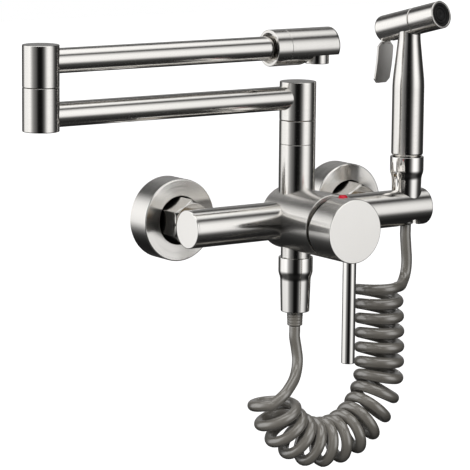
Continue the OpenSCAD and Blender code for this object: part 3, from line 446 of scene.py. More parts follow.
grey_hose = moulded("glossy grey hose", (0.128, 0.119, 0.104), (0.160, 0.150, 0.132),
                    (0.28, 0.36), 700, 0.00002, coat=1.0, gloss=0.8)
black_plastic = moulded("black nozzle plastic", (0.006, 0.006, 0.006), (0.010, 0.010, 0.010),
                        (0.34, 0.46), 900, 0.00003, gloss=0.3)
black_rubber = moulded("black rubber", (0.015, 0.015, 0.015), (0.025, 0.025, 0.025),
                       (0.55, 0.70), 1200, 0.00004)
white_plastic = moulded("white plastic", (0.66, 0.66, 0.64), (0.72, 0.72, 0.70),
                        (0.35, 0.45), 900, 0.00002)
red_plug = moulded("red index plug", (0.36, 0.006, 0.018), (0.44, 0.010, 0.026),
                   (0.22, 0.30), 900, 0.00002)
print("plastics:", grey_hose.name, black_plastic.name, red_plug.name)

# %% [markdown]
# ## Finishes on the solids
# Every solid of the frame names a slot, and a table gives each slot its material, so the parts
# inside are dressed as well. The nut that holds the cartridge is the one exception: it is near
# black, painted shade for the dark line that shows behind the cap.

# %% Dress the solids
SLOT_FINISH = {
    "brushed_steel": steel_plain, "chrome": chrome, "brass": brass, "rubber": black_rubber,
    "black_plastic": black_plastic, "white_plastic": white_plastic, "grey_hose": grey_hose,
    "red_plug": red_plug,
}
for part in frame["record"]["subparts"]:
    solid = nodes[part["node"]]
    solid.data.materials.clear()
    solid.data.materials.append(SLOT_FINISH[part["material_slot"]])
# The cartridge nut is near black: painted shade for the dark line behind the cap.
nodes["cartridge_nut"].data.materials[0] = painted_shade_black
print("solids dressed:", len(frame["record"]["subparts"]))

# %% [markdown]
# ## Surfaces of revolution
# Almost every part is turned on a lathe. A profile is a short list of corners, each with a
# softening in millimetres. Softening rounds a corner and adds a point just before and just
# after it, so that flat faces and straight walls stay exactly straight in their shading and
# only the edge catches the light. Blender's Screw modifier could turn a profile as well, but a
# grid of points worked out here comes with a UV map that runs round the part.

# %% Lathe
# Softening in mm where none is given, and its most as a share of the shorter side next to it
SLIGHT_SOFTENING, MOST_REACH = 0.05, 0.42
# How far out the outer points stand, and how close together two points are merged, in m
GUARD, MERGED = 1.15, 1e-7


def softened(corners, steps=4):
    """Profile with rounded corners. Each corner P with softening s becomes the quadratic curve
    (1-u)^2 A + 2u(1-u) P + u^2 B, where A and B lie s before and after P, between two more
    points a little further out."""
    points = np.array([c[:2] for c in corners], float)
    soft = np.array([c[2] if len(c) > 2 else SLIGHT_SOFTENING for c in corners], float)
    before = np.roll(points, 1, 0) - points
    after = np.roll(points, -1, 0) - points
    far_b, far_a = np.linalg.norm(before, axis=1), np.linalg.norm(after, axis=1)
    reach = np.minimum(soft, MOST_REACH * np.minimum(far_b, far_a))[:, None]
    to_b, to_a = before / far_b[:, None], after / far_a[:, None]
    start, end = points + reach * to_b, points + reach * to_a
    u = np.linspace(0, 1, steps + 1)[None, :, None]
    curve = ((1 - u) ** 2 * start[:, None] + 2 * u * (1 - u) * points[:, None]
             + u ** 2 * end[:, None])
    guard_b, guard_a = points + GUARD * reach * to_b, points + GUARD * reach * to_a
    return np.concatenate([guard_b[:, None], curve, guard_a[:, None]], axis=1)


def profile_of(corners, closed, steps):
    """All the points of a profile in order. An open one keeps its two ends, on the axis, as they
    are."""
    rows = softened(corners, steps)
    if closed:
        return rows.reshape(-1, 2)
    ends = np.array([corners[0][:2], corners[-1][:2]], float)
    return np.concatenate([ends[:1], rows[1:-1].reshape(-1, 2), ends[1:]])


def grid_faces(rows, columns, closed):
    """Quads of a grid whose columns wrap round, and whose rows wrap too if it is closed, with the
    row and the column that each quad starts from."""
    count = rows if closed else rows - 1
    i, j = np.meshgrid(np.arange(count), np.arange(columns), indexing="ij")
    i, j = i.ravel(), j.ravel()
    k, m = (i + 1) % rows, (j + 1) % columns
    return np.stack([i * columns + j, i * columns + m, k * columns + m, k * columns + j], 1), i, j


def run_along(line, closed=False):
    """Length from the first point to each point, and on round to the first one if closed."""
    steps = np.diff(line, axis=0, append=line[:1]) if closed else np.diff(line, axis=0)
    return np.concatenate([[0], np.cumsum(np.linalg.norm(steps, axis=1))])


def wrapped_uv(i, j, columns, run):
    """UV of each quad's corners: u is the share of the way round, v the run along in metres."""
    u0, u1, v0, v1 = j / columns, (j + 1) / columns, run[i], run[i + 1]
    corners = [np.stack(pair, 1) for pair in ((u0, v0), (u1, v0), (u1, v1), (u0, v1))]
    return np.stack(corners, 1).reshape(-1, 2)


def tidy(made):
    """Merges doubled points, closes the poles and turns every face outwards."""
    work = bmesh.new()
    work.from_mesh(made.data)
    bmesh.ops.remove_doubles(work, verts=work.verts, dist=MERGED)
    bmesh.ops.recalc_face_normals(work, faces=work.faces)
    work.to_mesh(made.data)
    work.free()


def piece(name, points, faces, finish, body, slot, corner_uv=None, smooth=True):
    """A mesh object from arrays, at the origin, riding on a body if one is named."""
    mesh = bpy.data.meshes.new(name)
    mesh.from_pydata(points.tolist(), [], faces.tolist())
    mesh.polygons.foreach_set("use_smooth", np.full(len(faces), smooth))
    if corner_uv is not None:
        layer = mesh.uv_layers.new(name="turning")
        layer.uv.foreach_set("vector", corner_uv.astype(np.float32).ravel())
    mesh.materials.append(finish)
    made = bpy.data.objects.new(name, mesh)
    bpy.context.scene.collection.objects.link(made)
    tidy(made)
    if body:
        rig.ride(made, body)
    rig.slot(made, slot)
    return made


def turned(name, corners, place, finish, body, replaces=(), closed=False, sides=128,
           squeeze=None, slot="brushed_steel", steps=4):
    """Surface of revolution: point = place * (r cos a, r sin a, h), where (r, h) runs along the
    profile and a round the axis. squeeze(r, h, a) may change r, as for a hexagon."""
    line = profile_of(corners, closed, steps) * MM
    angle = np.linspace(0, 2 * math.pi, sides, endpoint=False)
    r, h = np.repeat(line[:, :1], sides, 1), np.repeat(line[:, 1:], sides, 1)
    a = np.repeat(angle[None], len(line), 0)
    if squeeze:
        r = squeeze(r, h, a)
    local = np.stack([r * np.cos(a), r * np.sin(a), h, np.ones_like(a)], -1).reshape(-1, 4)
    faces, i, j = grid_faces(len(line), sides, closed)
    uv = wrapped_uv(i, j, sides, run_along(line, closed=True))
    made = piece(name, (local @ place.T)[:, :3], faces, finish, body, slot, uv)
    if replaces:
        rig.replaces(made, *replaces)
    return made


print("softened corner points:", softened([(0, 0), (10, 0, 1), (10, 5, 1)]).shape)

# %% [markdown]
# ## The curly hose
# The hose is one tube, 1.7 metres of it, wound into seventeen curls that hang as a leg and then
# a half loop. Its route is the part's own: short leads listed at both ends and a helix
# about a bent axis between them, whose curls lean over by a fixed tilt. A smooth curve then
# goes through all the points, because a helix and a lead that merely met would show a kink.

# %% Route of the hose
HOSE_D = 0.008
OUTLET_EXIT = np.array([0.0, -BAR_OUT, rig.box("outlet_ferrule")[0].z])
SPRAY_EXIT = np.array([CRADLE[0], -BAR_OUT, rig.box("spray_ferrule")[0].z])
outlet_lead = np.array([[0, 0, 0], [0, 0, -4.5], [0, 0, -9], [1.4, -0.3, -17], [1.9, -1.3, -25],
                        [-0.6, -3.8, -32], [-5.5, -7.5, -37.8], [-12.5, -11.5, -42.4],
                        [-19.4, -14.2, -46.6]]) * MM
spray_lead = np.array([[0, 0, 0], [0, 0, -4.5], [0, 0, -9], [0.8, 0, -17.5], [1.6, 0, -26],
                       [1.4, 0, -33], [-0.4, -0.8, -38.6], [-4.6, -3.7, -42.4],
                       [-10.2, -8.4, -44.2]]) * MM
CURL_R, CURLS, LEG_PITCH, LEG_LEN = 14.8 * MM, 17, 11.1 * MM, 63.6 * MM
LEG_TOP, LEG_LEAN, LEG_BEND_R = np.array([74.6, -55.3]) * MM, math.radians(6.1), 515 * MM
LOOP_R, LOOP_SWEEP = 49 * MM, math.radians(164.6)
TURN_TILT, FIRST_CURL = math.radians(-12), math.radians(54)
# Points in a curl and in a span; the even step and the gap to the solid's box, in m
CURL_POINTS, SPAN_POINTS, ROUTE_STEP, BOX_CLEAR = 24, 8, 0.0016, 0.00005


def curls(count):
    """Points of the helix: the axis runs down an arc of a large radius, then round the half loop;
    each point stands off the axis by the curl's radius, at an angle that grows by one turn a curl."""
    t = np.linspace(0, CURLS, count)
    leg_turns = LEG_LEN / LEG_PITCH
    loop_pitch = LOOP_R * LOOP_SWEEP / (CURLS - leg_turns)
    run = np.where(t < leg_turns, t * LEG_PITCH, LEG_LEN + (t - leg_turns) * loop_pitch)
    bend = LEG_LEAN - LEG_LEN / LEG_BEND_R
    outward = np.where(run < LEG_LEN, LEG_LEAN - run / LEG_BEND_R, bend - (run - LEG_LEN) / LOOP_R)
    leg_centre = LEG_TOP - LEG_BEND_R * np.array([math.cos(LEG_LEAN), math.sin(LEG_LEAN)])
    loop_centre = leg_centre + (LEG_BEND_R - LOOP_R) * np.array([math.cos(bend), math.sin(bend)])
    in_leg = (run < LEG_LEN)[:, None]
    centre = np.where(in_leg, leg_centre, loop_centre)
    radius = np.where(in_leg, LEG_BEND_R, LOOP_R)
    axis = centre + radius * np.stack([np.cos(outward), np.sin(outward)], 1)
    q, tilt = FIRST_CURL + 2 * math.pi * t, outward + TURN_TILT
    return np.stack([axis[:, 0] + CURL_R * np.cos(q) * np.cos(tilt),
                     -BAR_OUT - CURL_R * np.sin(q),
                     axis[:, 1] + CURL_R * np.cos(q) * np.sin(tilt)], 1)


def smooth_route(points, step):
    """Catmull-Rom curve through points: on each span the cubic that meets both ends with the
    slopes of their neighbours; then points at an even step along it."""
    p = np.concatenate([[2 * points[0] - points[1]], points, [2 * points[-1] - points[-2]]])
    u = np.linspace(0, 1, SPAN_POINTS, endpoint=False)[None, :, None]
    a, b, c, d = (p[i:len(p) - 3 + i, None] for i in range(4))
    fine = 0.5 * (2 * b + (c - a) * u + (2 * a - 5 * b + 4 * c - d) * u ** 2
                  + (3 * b - a - 3 * c + d) * u ** 3)
    fine = np.concatenate([fine.reshape(-1, 3), points[-1:]])
    run = run_along(fine)
    even = np.linspace(0, run[-1], int(run[-1] / step) + 1)
    return np.stack([np.interp(even, run, fine[:, k]) for k in range(3)], 1)


hose_route = smooth_route(np.concatenate([SPRAY_EXIT + spray_lead, curls(CURLS * CURL_POINTS + 1),
                                          (OUTLET_EXIT + outlet_lead)[::-1]]), ROUTE_STEP)
# The lowest curl is held just above the bottom of the solid's box
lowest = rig.box("curly_hose")[0].z + HOSE_D / 2 + BOX_CLEAR
hose_route[:, 2] = np.maximum(hose_route[:, 2], lowest)
hose_length = float(run_along(hose_route)[-1])
print("hose:", round(hose_length, 4), "m in", len(hose_route), "points")

# %% [markdown]
# ## The hose as a tube
# A round section is carried along the route. Blender can bevel a curve into a tube, but this
# one is a mesh with its own UV map, since it has to bend after the sprayer when that is
# lifted. Two directions square to the route are handed on from point to point, because
# directions worked out afresh at each point would flip somewhere in a curl.

# %% Tube along a route
def carried_frames(route):
    """Two directions square to a route at every point. The side starts square to the y axis too,
    and at each next point it is the last side less its part along the route, made one long
    again. The other is the route's own direction crossed with the side."""
    along = np.gradient(route, axis=0)
    along /= np.linalg.norm(along, axis=1)[:, None]
    side = np.zeros_like(along)
    side[0] = np.cross(along[0], [0, 1, 0])
    side[0] /= np.linalg.norm(side[0])
    for i in range(1, len(along)):
        side[i] = side[i - 1] - np.dot(side[i - 1], along[i]) * along[i]
        side[i] /= np.linalg.norm(side[i])
    return side, np.cross(along, side)


def tube(name, route, diameter, finish, body, slot, sides=20):
    """Tube: point = route(t) + r cos a * side(t) + r sin a * other(t), with both ends closed."""
    side, other = carried_frames(route)
    a = np.linspace(0, 2 * math.pi, sides, endpoint=False)[None, :, None]
    ring = diameter / 2 * (np.cos(a) * side[:, None] + np.sin(a) * other[:, None])
    rings = np.concatenate([0 * ring[:1], ring, 0 * ring[:1]])
    line = np.concatenate([route[:1], route, route[-1:]])
    points = (line[:, None] + rings).reshape(-1, 3)
    faces, i, j = grid_faces(len(line), sides, False)
    uv = wrapped_uv(i, j, sides, run_along(line))
    return piece(name, points, faces, finish, body, slot, uv)


hose = tube("curly_hose_tube", hose_route, HOSE_D, grey_hose, None, "grey_hose")
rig.replaces(hose, "curly_hose")
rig.cord(hose, exit=SPRAY_EXIT, length=hose_length, diameter=HOSE_D, far_end="object",
        stiffness="limp", lay="hanging", path=hose_route.tolist())
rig.blend(hose, "sprayer", "root", start=tuple(SPRAY_EXIT), end=tuple(OUTLET_EXIT))
print("hose faces:", len(hose.data.polygons))

# %% [markdown]
# ## Wall side
# Two spun flanges cover the wall unions, and hexagonal nuts hold the tap to them. The flange is
# a thin dish, so its profile is closed and goes round its own wall. The hexagon is a lathe
# profile whose radius is pressed in to the flats, with the corners left where the chamfer cuts
# them. A black rubber seal behind each flange reaches in to the thread; it is painted shade, standing in for the shade
# that the wall throws into the hole.

# %% Flanges and union nuts
NUT_AF, NUT_START, NUT_END, TAIL_R = 29.0, 15.0, 36.0, 10.05
STAYS_ROUND = 1.2 * TAIL_R


def hexagon(r, h, a):
    """Least of the turned radius and the flat's distance over the cosine of the angle from the
    flat's middle. The narrow tail stays round."""
    flat = NUT_AF / 2 * MM / np.cos((a + math.pi / 6) % (math.pi / 3) - math.pi / 6)
    return np.where(r > STAYS_ROUND * MM, np.minimum(r, flat), r)


FLANGE_R, FLANGE_DEPTH, FLANGE_WALL, FLANGE_BORE = 29.5, 19.5, 1.5, 17.35
FLANGE_INSIDE = FLANGE_R - FLANGE_WALL
INLETS = {"left": axes([-INLET, 0, 0], [0, -1, 0], [1, 0, 0]),
          "right": axes([INLET, 0, 0], [0, -1, 0], [1, 0, 0])}
for word, inlet in INLETS.items():
    turned(f"flange_{word}",
           [(FLANGE_R, 0), (FLANGE_R, FLANGE_DEPTH, 0.9), (FLANGE_BORE, FLANGE_DEPTH, 0.4),
            (FLANGE_BORE, FLANGE_DEPTH - FLANGE_WALL), (FLANGE_INSIDE, FLANGE_DEPTH - FLANGE_WALL),
            (FLANGE_INSIDE, 0)],
           inlet, steel_faces, "root", ["wall_flanges"], closed=True, sides=160)
    # The nuts take the darker copy of the steel: painted shade.
    turned(f"union_nut_{word}",
           [(TAIL_R, NUT_END, 0.3), (14.3, NUT_END, 0.3), (16.74, NUT_END - 1.5, 0.3),
            (16.74, NUT_START + 0.5, 0.3), (16.2, NUT_START), (13.25, NUT_START), (13.25, 29),
            (TAIL_R, 29)],
           inlet, steel_dark, "root", ["union_nuts"], closed=True, sides=180, squeeze=hexagon)
UNION_R = (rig.box("wall_unions")[1].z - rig.box("wall_unions")[0].z) / 2 / MM
THREAD_R, SEAL_R, SEAL_LIP = 10.6, 27.6, UNION_R + 0.3
# The black seal closes the back of each flange: painted shade in place of the wall's shade.
for word, inlet in INLETS.items():
    turned(f"wall_shade_seal_{word}",
           [(THREAD_R, 0.2), (SEAL_R, 0.2), (SEAL_R, 2.6, 0.3), (SEAL_LIP, 2.6, 0.3),
            (SEAL_LIP, 1.45), (THREAD_R, 1.45)],
           inlet, black_rubber, "root", closed=True, slot="rubber")
print("wall side dressed, union radius", round(UNION_R, 2), "mm")

# %% [markdown]
# ## Bar, body and column
# The cross bar, the round body and the column are stock of three sizes welded into one. Each is
# turned by itself and they run into one another, which leaves the sharp line of the real
# joint and needs no Boolean.

# %% Fixed steel
BAR_R, BAR_LEFT, BAR_RIGHT = 13.5, -92.5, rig.box("mixer_body")[1].x / MM
turned("end_plug", [(0, -94), (BAR_R, -94, 0.6), (BAR_R, -92.55, 0.1), (0, -92.55)],
       along_bar, steel_ground, "root", ["bar_end_plug"])
bar = turned("cross_bar",
             [(0, BAR_LEFT), (BAR_R, BAR_LEFT, 0.15), (BAR_R, BAR_RIGHT, 0.8), (0, BAR_RIGHT)],
             along_bar, steel_drawn, "root", ["mixer_body"], sides=192)
BODY_FRONT, BODY_BACK, BODY_R = 98.7, 43.5, 22.5
turned("round_body",
       [(0, BODY_BACK), (BODY_R, BODY_BACK, 0.6), (BODY_R, BODY_FRONT, 0.5), (19.05, BODY_FRONT, 0.3),
        (19.05, 89.7), (17.55, 89.7), (17.55, 61.7), (0, 61.7)],
       across_body, steel_body, "root", ["mixer_body"], sides=192)
COLUMN_R = 13
turned("column",
       [(0, 0), (COLUMN_R, 0), (COLUMN_R, 54, 0.35), (11.2, 54), (11.2, 63.9), (0, 63.9)],
       up_column, steel_turned, "root", ["mixer_body"])
turned("outlet_neck",
       [(0, 0), (10.75, 0), (10.75, -27.5, 0.3), (10.45, -27.5), (10.45, -36.9), (0, -36.9)],
       up_column, steel_turned, "root", ["mixer_body"])
turned("column_collar_ring",
       [(11.25, 54.05), (COLUMN_R, 54.05, 0.35), (COLUMN_R, 71, 0.4), (9, 71), (9, 67.7),
        (11.25, 67.7)],
       up_column, steel_turned, "root", ["column_collar"], closed=True)
print("bar, body and column dressed")

# %% [markdown]
# ## Drilling
# Bores, slots and milled flats are cut with a Boolean modifier, as a drill or a milling cutter
# would make them. The result is kept as the part's own mesh, so that nothing live is left on
# the piece, and edges sharper than the crease angle are marked, so that the walls on either
# side of them shade as they did before.

# %% Drilling
CREASE = math.radians(32)


def cutter(name, points, faces):
    """A bare mesh to cut with: it has no finish, no body and no slot, and goes once it has cut."""
    mesh = bpy.data.meshes.new(name)
    mesh.from_pydata(points.tolist(), [], faces)
    made = bpy.data.objects.new(name, mesh)
    bpy.context.scene.collection.objects.link(made)
    tidy(made)
    return made


def drilled(target, tool):
    """Cuts a tool out of a turned part and keeps the result as the part's own mesh."""
    cut = target.modifiers.new("bore", "BOOLEAN")
    cut.operation, cut.object, cut.solver = "DIFFERENCE", tool, "EXACT"
    bpy.context.view_layer.update()
    shown = target.evaluated_get(bpy.context.evaluated_depsgraph_get())
    result = bpy.data.meshes.new_from_object(shown)
    target.modifiers.clear()
    target.data = result
    bpy.data.objects.remove(tool)
    result.set_sharp_from_angle(angle=CREASE)
    return target


CRADLE_BORE = 10.95
drilled(bar, turned("cradle_cut", [(0, -20), (CRADLE_BORE, -20), (CRADLE_BORE, 20), (0, 20)],
                    up_sprayer, steel_turned, "root"))
print("cross bar:", len(bar.data.polygons), "faces")

# %% [markdown]
# ## Folding arm
# Two tubes meet at the knuckle, and the column carries them on its socket. The lower tube ends
# in the knuckle's lower half and the upper tube starts in its upper half, with a fine dark line
# where the halves turn on one another. One cylinder with a groove would look the same at rest,
# but two cups turned by themselves can part when the arm unfolds.

# %% Socket, tubes and knuckle
LOW, HIGH = LOWER_Z / MM, UPPER_Z / MM
ARM_TUBE_R, ARM_TUBE_END, KNUCKLE_R = 8.5, -202.9, 12.5
turned("arm_socket_cup",
       [(0, 96), (8.98, 96), (8.98, 71.3), (COLUMN_R, 71.3, 0.4), (COLUMN_R, 98.5, 0.6), (0, 98.5)],
       up_column, steel_turned, "lower_arm", ["arm_socket"])
turned("lower_tube",
       [(0, ARM_TUBE_END), (ARM_TUBE_R, ARM_TUBE_END), (ARM_TUBE_R, -9.6), (0, -9.6)],
       along_lower, steel_drawn, "lower_arm", ["lower_arm_tube"])
turned("lower_knuckle_half",
       [(9, LOW - 10.5, 0.2), (KNUCKLE_R, LOW - 10.5, 0.6), (KNUCKLE_R, 106, 0.35), (10.55, 106),
        (10.55, 105), (8, 105), (8, 97), (9, 97)],
       up_knuckle, steel_turned, "lower_arm", ["lower_knuckle"], closed=True)
turned("upper_knuckle_half",
       [(0, 132), (7.98, 132), (7.98, 106.3), (KNUCKLE_R, 106.3, 0.35), (KNUCKLE_R, 134.5, 0.7),
        (0, 134.5)],
       up_knuckle, steel_turned, "upper_arm", ["upper_knuckle"])
turned("upper_tube",
       [(0, ARM_TUBE_END), (ARM_TUBE_R, ARM_TUBE_END), (ARM_TUBE_R, -19.9), (0, -19.9)],
       along_upper, steel_drawn, "upper_arm", ["upper_arm_tube"])
print("arm dressed")

# %% [markdown]
# ## Spout
# The sleeve's mouth is wider than the tube, which leaves an open ring round it. The head's
# underside is milled flat for the aerator, with a round end where the cutter entered, so it is
# turned first and then milled.

# %% Spout head
SPOUT_R = 13
turned("spout_sleeve_ring",
       [(SPOUT_R, -26, 0.5), (SPOUT_R, -13.85, 0.25), (11.8, -13.85), (11.8, -20.2), (8.55, -20.2),
        (8.55, -22), (10.6, -22), (10.6, -26, 0.3)],
       along_upper, steel_turned, "spout", ["spout_sleeve"], closed=True)
spout = turned("spout_end",
               [(0, -17.8), (11.75, -17.8), (11.75, -13.8), (SPOUT_R, -13.8, 0.25),
                (SPOUT_R, 28, 1.6), (0, 28)],
               along_upper, steel_turned, "spout", ["spout_head"], sides=192)


def milled_slot(name, width, start, length, top, depth):
    """Stadium-shaped cutter: a round end of half the width, drawn out to a length and then down
    to a depth."""
    a = np.linspace(math.pi / 2, 3 * math.pi / 2, 48)
    x = np.concatenate([start + width / 2 * np.cos(a), [start + length, start + length]])
    y = np.concatenate([width / 2 * np.sin(a), [-width / 2, width / 2]])
    rim = np.stack([x, y - BAR_OUT / MM], 1)
    low = np.concatenate([rim, np.full((len(rim), 1), top - depth)], 1)
    high = np.concatenate([rim, np.full((len(rim), 1), top)], 1)
    points = np.concatenate([low, high]) * MM
    n = len(rim)
    k = np.arange(n)
    walls = np.stack([k, (k + 1) % n, (k + 1) % n + n, k + n], 1).tolist()
    return cutter(name, points, walls + [k[::-1].tolist(), (k + n).tolist()])


MILLED_FLAT = HIGH - 6.0
drilled(spout, milled_slot("spout_mill", width=25.0, start=11.2, length=40.0, top=MILLED_FLAT,
                           depth=20.0))
at_aerator = axes([16.5 * MM, -BAR_OUT, 0], [0, 0, 1], [1, 0, 0])
turned("aerator_ring",
       [(6.75, HIGH - 12.8, 0.2), (8.55, HIGH - 12.8, 0.5), (8.55, MILLED_FLAT, 0.2),
        (6.75, MILLED_FLAT)],
       at_aerator, steel_turned, "spout", ["aerator_housing"], closed=True)
print("spout dressed")

# %% [markdown]
# ## Hose nuts and strain reliefs
# The two nuts are the same turning: a straight shoulder, a short taper, and a long slow cone,
# with which the sprayer also sits in the cradle. The reliefs are ribbed, and each groove
# between two ribs is three corners of the profile, a little narrower from rib to rib.

# %% Hose nuts
HOSE_NUT = [(10.5, 0, 0.1), (12.35, 0, 0.45), (12.35, -11.1, 1.6), (11, -15.1, 1.6),
            (10.3, -39.6, 0.6), (7, -39.6, 0.2), (7, -13), (10.5, -13)]
RELIEF = [(0, -39), (6.8, -39), (6.8, -39.55), (5.85, -39.6, 0.2),
          (5.75, -41.55, 0.4), (5.25, -41.75, 0.2), (5.75, -41.95, 0.4),
          (5.65, -43.6, 0.4), (5.2, -43.8, 0.2), (5.65, -44.0, 0.4),
          (5.55, -45.7, 0.4), (5.1, -45.9, 0.2), (5.55, -46.1, 0.4),
          (5.5, -47.8, 0.4), (5.05, -48.0, 0.2), (5.5, -48.2, 0.4),
          (5.45, -49.95, 0.7), (0, -50.0)]
at_outlet = axes([0, -BAR_OUT, -27.5 * MM], [0, 0, 1], [1, 0, 0])
at_spray_nut = axes(CRADLE + [0, 0, 37.9 * MM], [0, 0, 1], sideways)
for word, place, body in (("outlet", at_outlet, "root"), ("spray", at_spray_nut, "sprayer")):
    turned(f"{word}_nut_cone", HOSE_NUT, place, chrome, body, [f"{word}_nut"], closed=True,
           slot="chrome", steps=6)
    turned(f"{word}_relief", RELIEF, place, grey_hose, body, [f"{word}_ferrule"],
           slot="grey_hose", sides=64)
print("hose ends dressed")

# %% [markdown]
# ## Lever
# The lever is a plain polished rod, screwed into the cap from below. A cylinder from Blender's
# menu would nearly do, but turned on the same lathe its ends get the same soft edges.

# %% Lever
ROD_R = 4.75
rod_foot, rod_top = (corner.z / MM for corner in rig.box("lever_rod"))
lever_place = axes([0, middle("lever_rod")[1], 0], [0, 0, 1], [1, 0, 0])
turned("lever", [(0, rod_foot), (ROD_R, rod_foot, 0.5), (ROD_R, rod_top, 0.3), (0, rod_top)],
       lever_place, chrome, "handle", ["lever_rod"], slot="chrome", sides=96)
print("lever dressed, from", round(rod_foot, 1), "to", round(rod_top, 1), "mm")

# %% [markdown]
# ## Cap and plug
# The cap is the drum that the hand turns. It is turned as a cup, its back is cut on a slant so
# that it can tip towards the body, and a countersunk hole is drilled on top for the red plug
# that hides the screw. Its front is ground flat and lifted lighter as painted light, so the
# faces whose centres lie on that front take a second material.

# %% Handle cap
def block(name, place, low, high, **dress):
    """Box between two corners of a place: a bare cutter, or a piece if a finish comes with it."""
    x, y, z = np.meshgrid(*zip(low, high), indexing="ij")
    local = np.stack([x, y, z, np.ones_like(x) / MM], -1).reshape(-1, 4) * MM
    points = (local @ place.T)[:, :3]
    faces = np.array([(0, 1, 3, 2), (4, 6, 7, 5), (0, 4, 5, 1),
                      (2, 3, 7, 6), (0, 2, 6, 4), (1, 5, 7, 3)])
    if dress:
        return piece(name, points, faces, smooth=False, **dress)
    return cutter(name, points, faces.tolist())


CAP_BACK, CAP_FACE, CAP_SLANT, PLUG_OUT = 101.3, 125.7, math.radians(14), 111.0
BOSS_R, BOSS_END, POCKET_R, POCKET_END = 10, CAP_FACE - 19, 18.5, CAP_FACE - 13
cap = turned("handle_drum",
             [(0, BOSS_END), (BOSS_R, BOSS_END), (BOSS_R, POCKET_END), (POCKET_R, POCKET_END),
              (POCKET_R, CAP_BACK), (BODY_R, CAP_BACK, 0.5), (BODY_R, CAP_FACE, 0.55), (0, CAP_FACE)],
             across_body, steel_body, "handle", ["handle_cap"], sides=192)
slant = axes([0, -CAP_BACK * MM, 0], [0, -math.sin(CAP_SLANT), math.cos(CAP_SLANT)], [1, 0, 0])
drilled(cap, block("slant_cut", slant, (-40, 0, 0), (40, 40, 60)))
plug_hole = axes([0, -PLUG_OUT * MM, 0], [0, 0, 1], [1, 0, 0])
drilled(cap, turned("plug_cut",
                    [(0, 15), (3.35, 15), (3.35, 21.0), (4.9, 22.6), (4.9, 26), (0, 26)],
                    plug_hole, steel_turned, None, sides=64))
# The second material is the finer ground steel, lifted lighter as painted light on the cap's front.
cap.data.materials.append(steel_ground)
centre = np.empty(len(cap.data.polygons) * 3)
cap.data.polygons.foreach_get("center", centre)
FACE_MARGIN = 0.02
on_face = centre.reshape(-1, 3)[:, 1] < -(CAP_FACE - FACE_MARGIN) * MM
cap.data.polygons.foreach_set("material_index", on_face.astype(np.int32))
turned("red_button", [(0, 16), (3.3, 16), (3.3, 22.6, 0.8), (2.4, 23.8, 1.2), (0, 24.2)],
       plug_hole, red_plug, "handle", ["index_plug"], slot="red_plug", sides=48, steps=6)
print("cap:", len(cap.data.polygons), "faces,", int(on_face.sum()), "on its face")

# %% [markdown]
# ## Trigger
# The finger plate is a strip of sheet that leans and bows a little, hung on a tongue inside the
# head. No lathe makes it, so it is a grid of points, across and down the plate, with a
# second layer behind. A Bevel modifier eases its rim, as a file would.

# %% Trigger
PLATE_TOP, PLATE_H, PLATE_T = -15.4, 30.7, 1.9
PLATE_BACK, PLATE_LEAN, PLATE_BOW = 22.85, 4.0, 0.8
# Half of the plate's width, at distances down from its top
half = np.array([4.3, 7.75, 7.75, 7.75, 7.75, 4.5])
fall = np.array([0.0, 3.6, 12.0, 20.0, PLATE_H - 3.0, PLATE_H])


def trigger_plate(columns=13, rows=40):
    """Finger plate: across u its width, down v its height. The width follows the outline, the
    plate leans back by a share of v and bows by a sine of v, and a second layer lies its
    thickness behind."""
    v = np.unique(np.concatenate([np.linspace(0, PLATE_H, rows), fall]))
    u = np.linspace(-1, 1, columns)
    x = np.interp(v, fall, half)[:, None] * u[None]
    f = (v / PLATE_H)[:, None] + 0 * x
    back = PLATE_BACK + PLATE_LEAN * f - PLATE_BOW * np.sin(math.pi * f)
    z = PLATE_TOP - v[:, None] + 0 * x
    front = np.stack([x, back, z], -1).reshape(-1, 3)
    rear = front + [0, PLATE_T, 0]
    n, m = len(v), columns
    faces, _, _ = grid_faces(n, m, False)
    inner = faces.reshape(n - 1, m, 4)[:, :-1].reshape(-1, 4)
    k = np.arange(n * m).reshape(n, m)
    rim = np.concatenate([k[0, :-1], k[:-1, -1], k[-1, :0:-1], k[:0:-1, 0]])
    ahead = np.roll(rim, -1)
    walls = np.stack([rim, ahead, ahead + n * m, rim + n * m], 1)
    local = np.concatenate([front, rear])
    placed = local[:, :1] * sideways - local[:, 1:2] * sprays + local[:, 2:] * np.array([0, 0, 1])
    points = CRADLE + [0, 0, HEAD_RISE] + MM * placed
    return points, np.concatenate([inner, inner[:, ::-1] + n * m, walls])


plate_points, plate_faces = trigger_plate()
plate = piece("finger_plate", plate_points, plate_faces, steel_sheet, "trigger", "chrome")
PLATE_CREASE, EASE_FROM, EASE_WIDTH = math.radians(30), math.radians(40), 0.0003
plate.data.set_sharp_from_angle(angle=PLATE_CREASE)
ease = plate.modifiers.new("eased edges", "BEVEL")
ease.width, ease.segments, ease.limit_method, ease.angle_limit = EASE_WIDTH, 2, "ANGLE", EASE_FROM
tongue = block("trigger_tongue", along_head, (-3.4, -10.9, -27.0), (3.4, 4.0, -25.0),
               finish=steel_plain, body="trigger", slot="chrome")
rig.replaces(tongue, "trigger")
print("trigger dressed:", len(plate_faces), "faces")

# %% [markdown]
# ## Sprayer
# The handle is a drum that draws in to a slim neck; its two breaks are softened by several
# millimetres, as spinning leaves them. The head is a barrel with a slot below for the
# trigger, and the nozzle's sleeve is a thin ring round a black plate with raised rings. The
# rings are part of the plate's profile, which costs less than modelling each one.

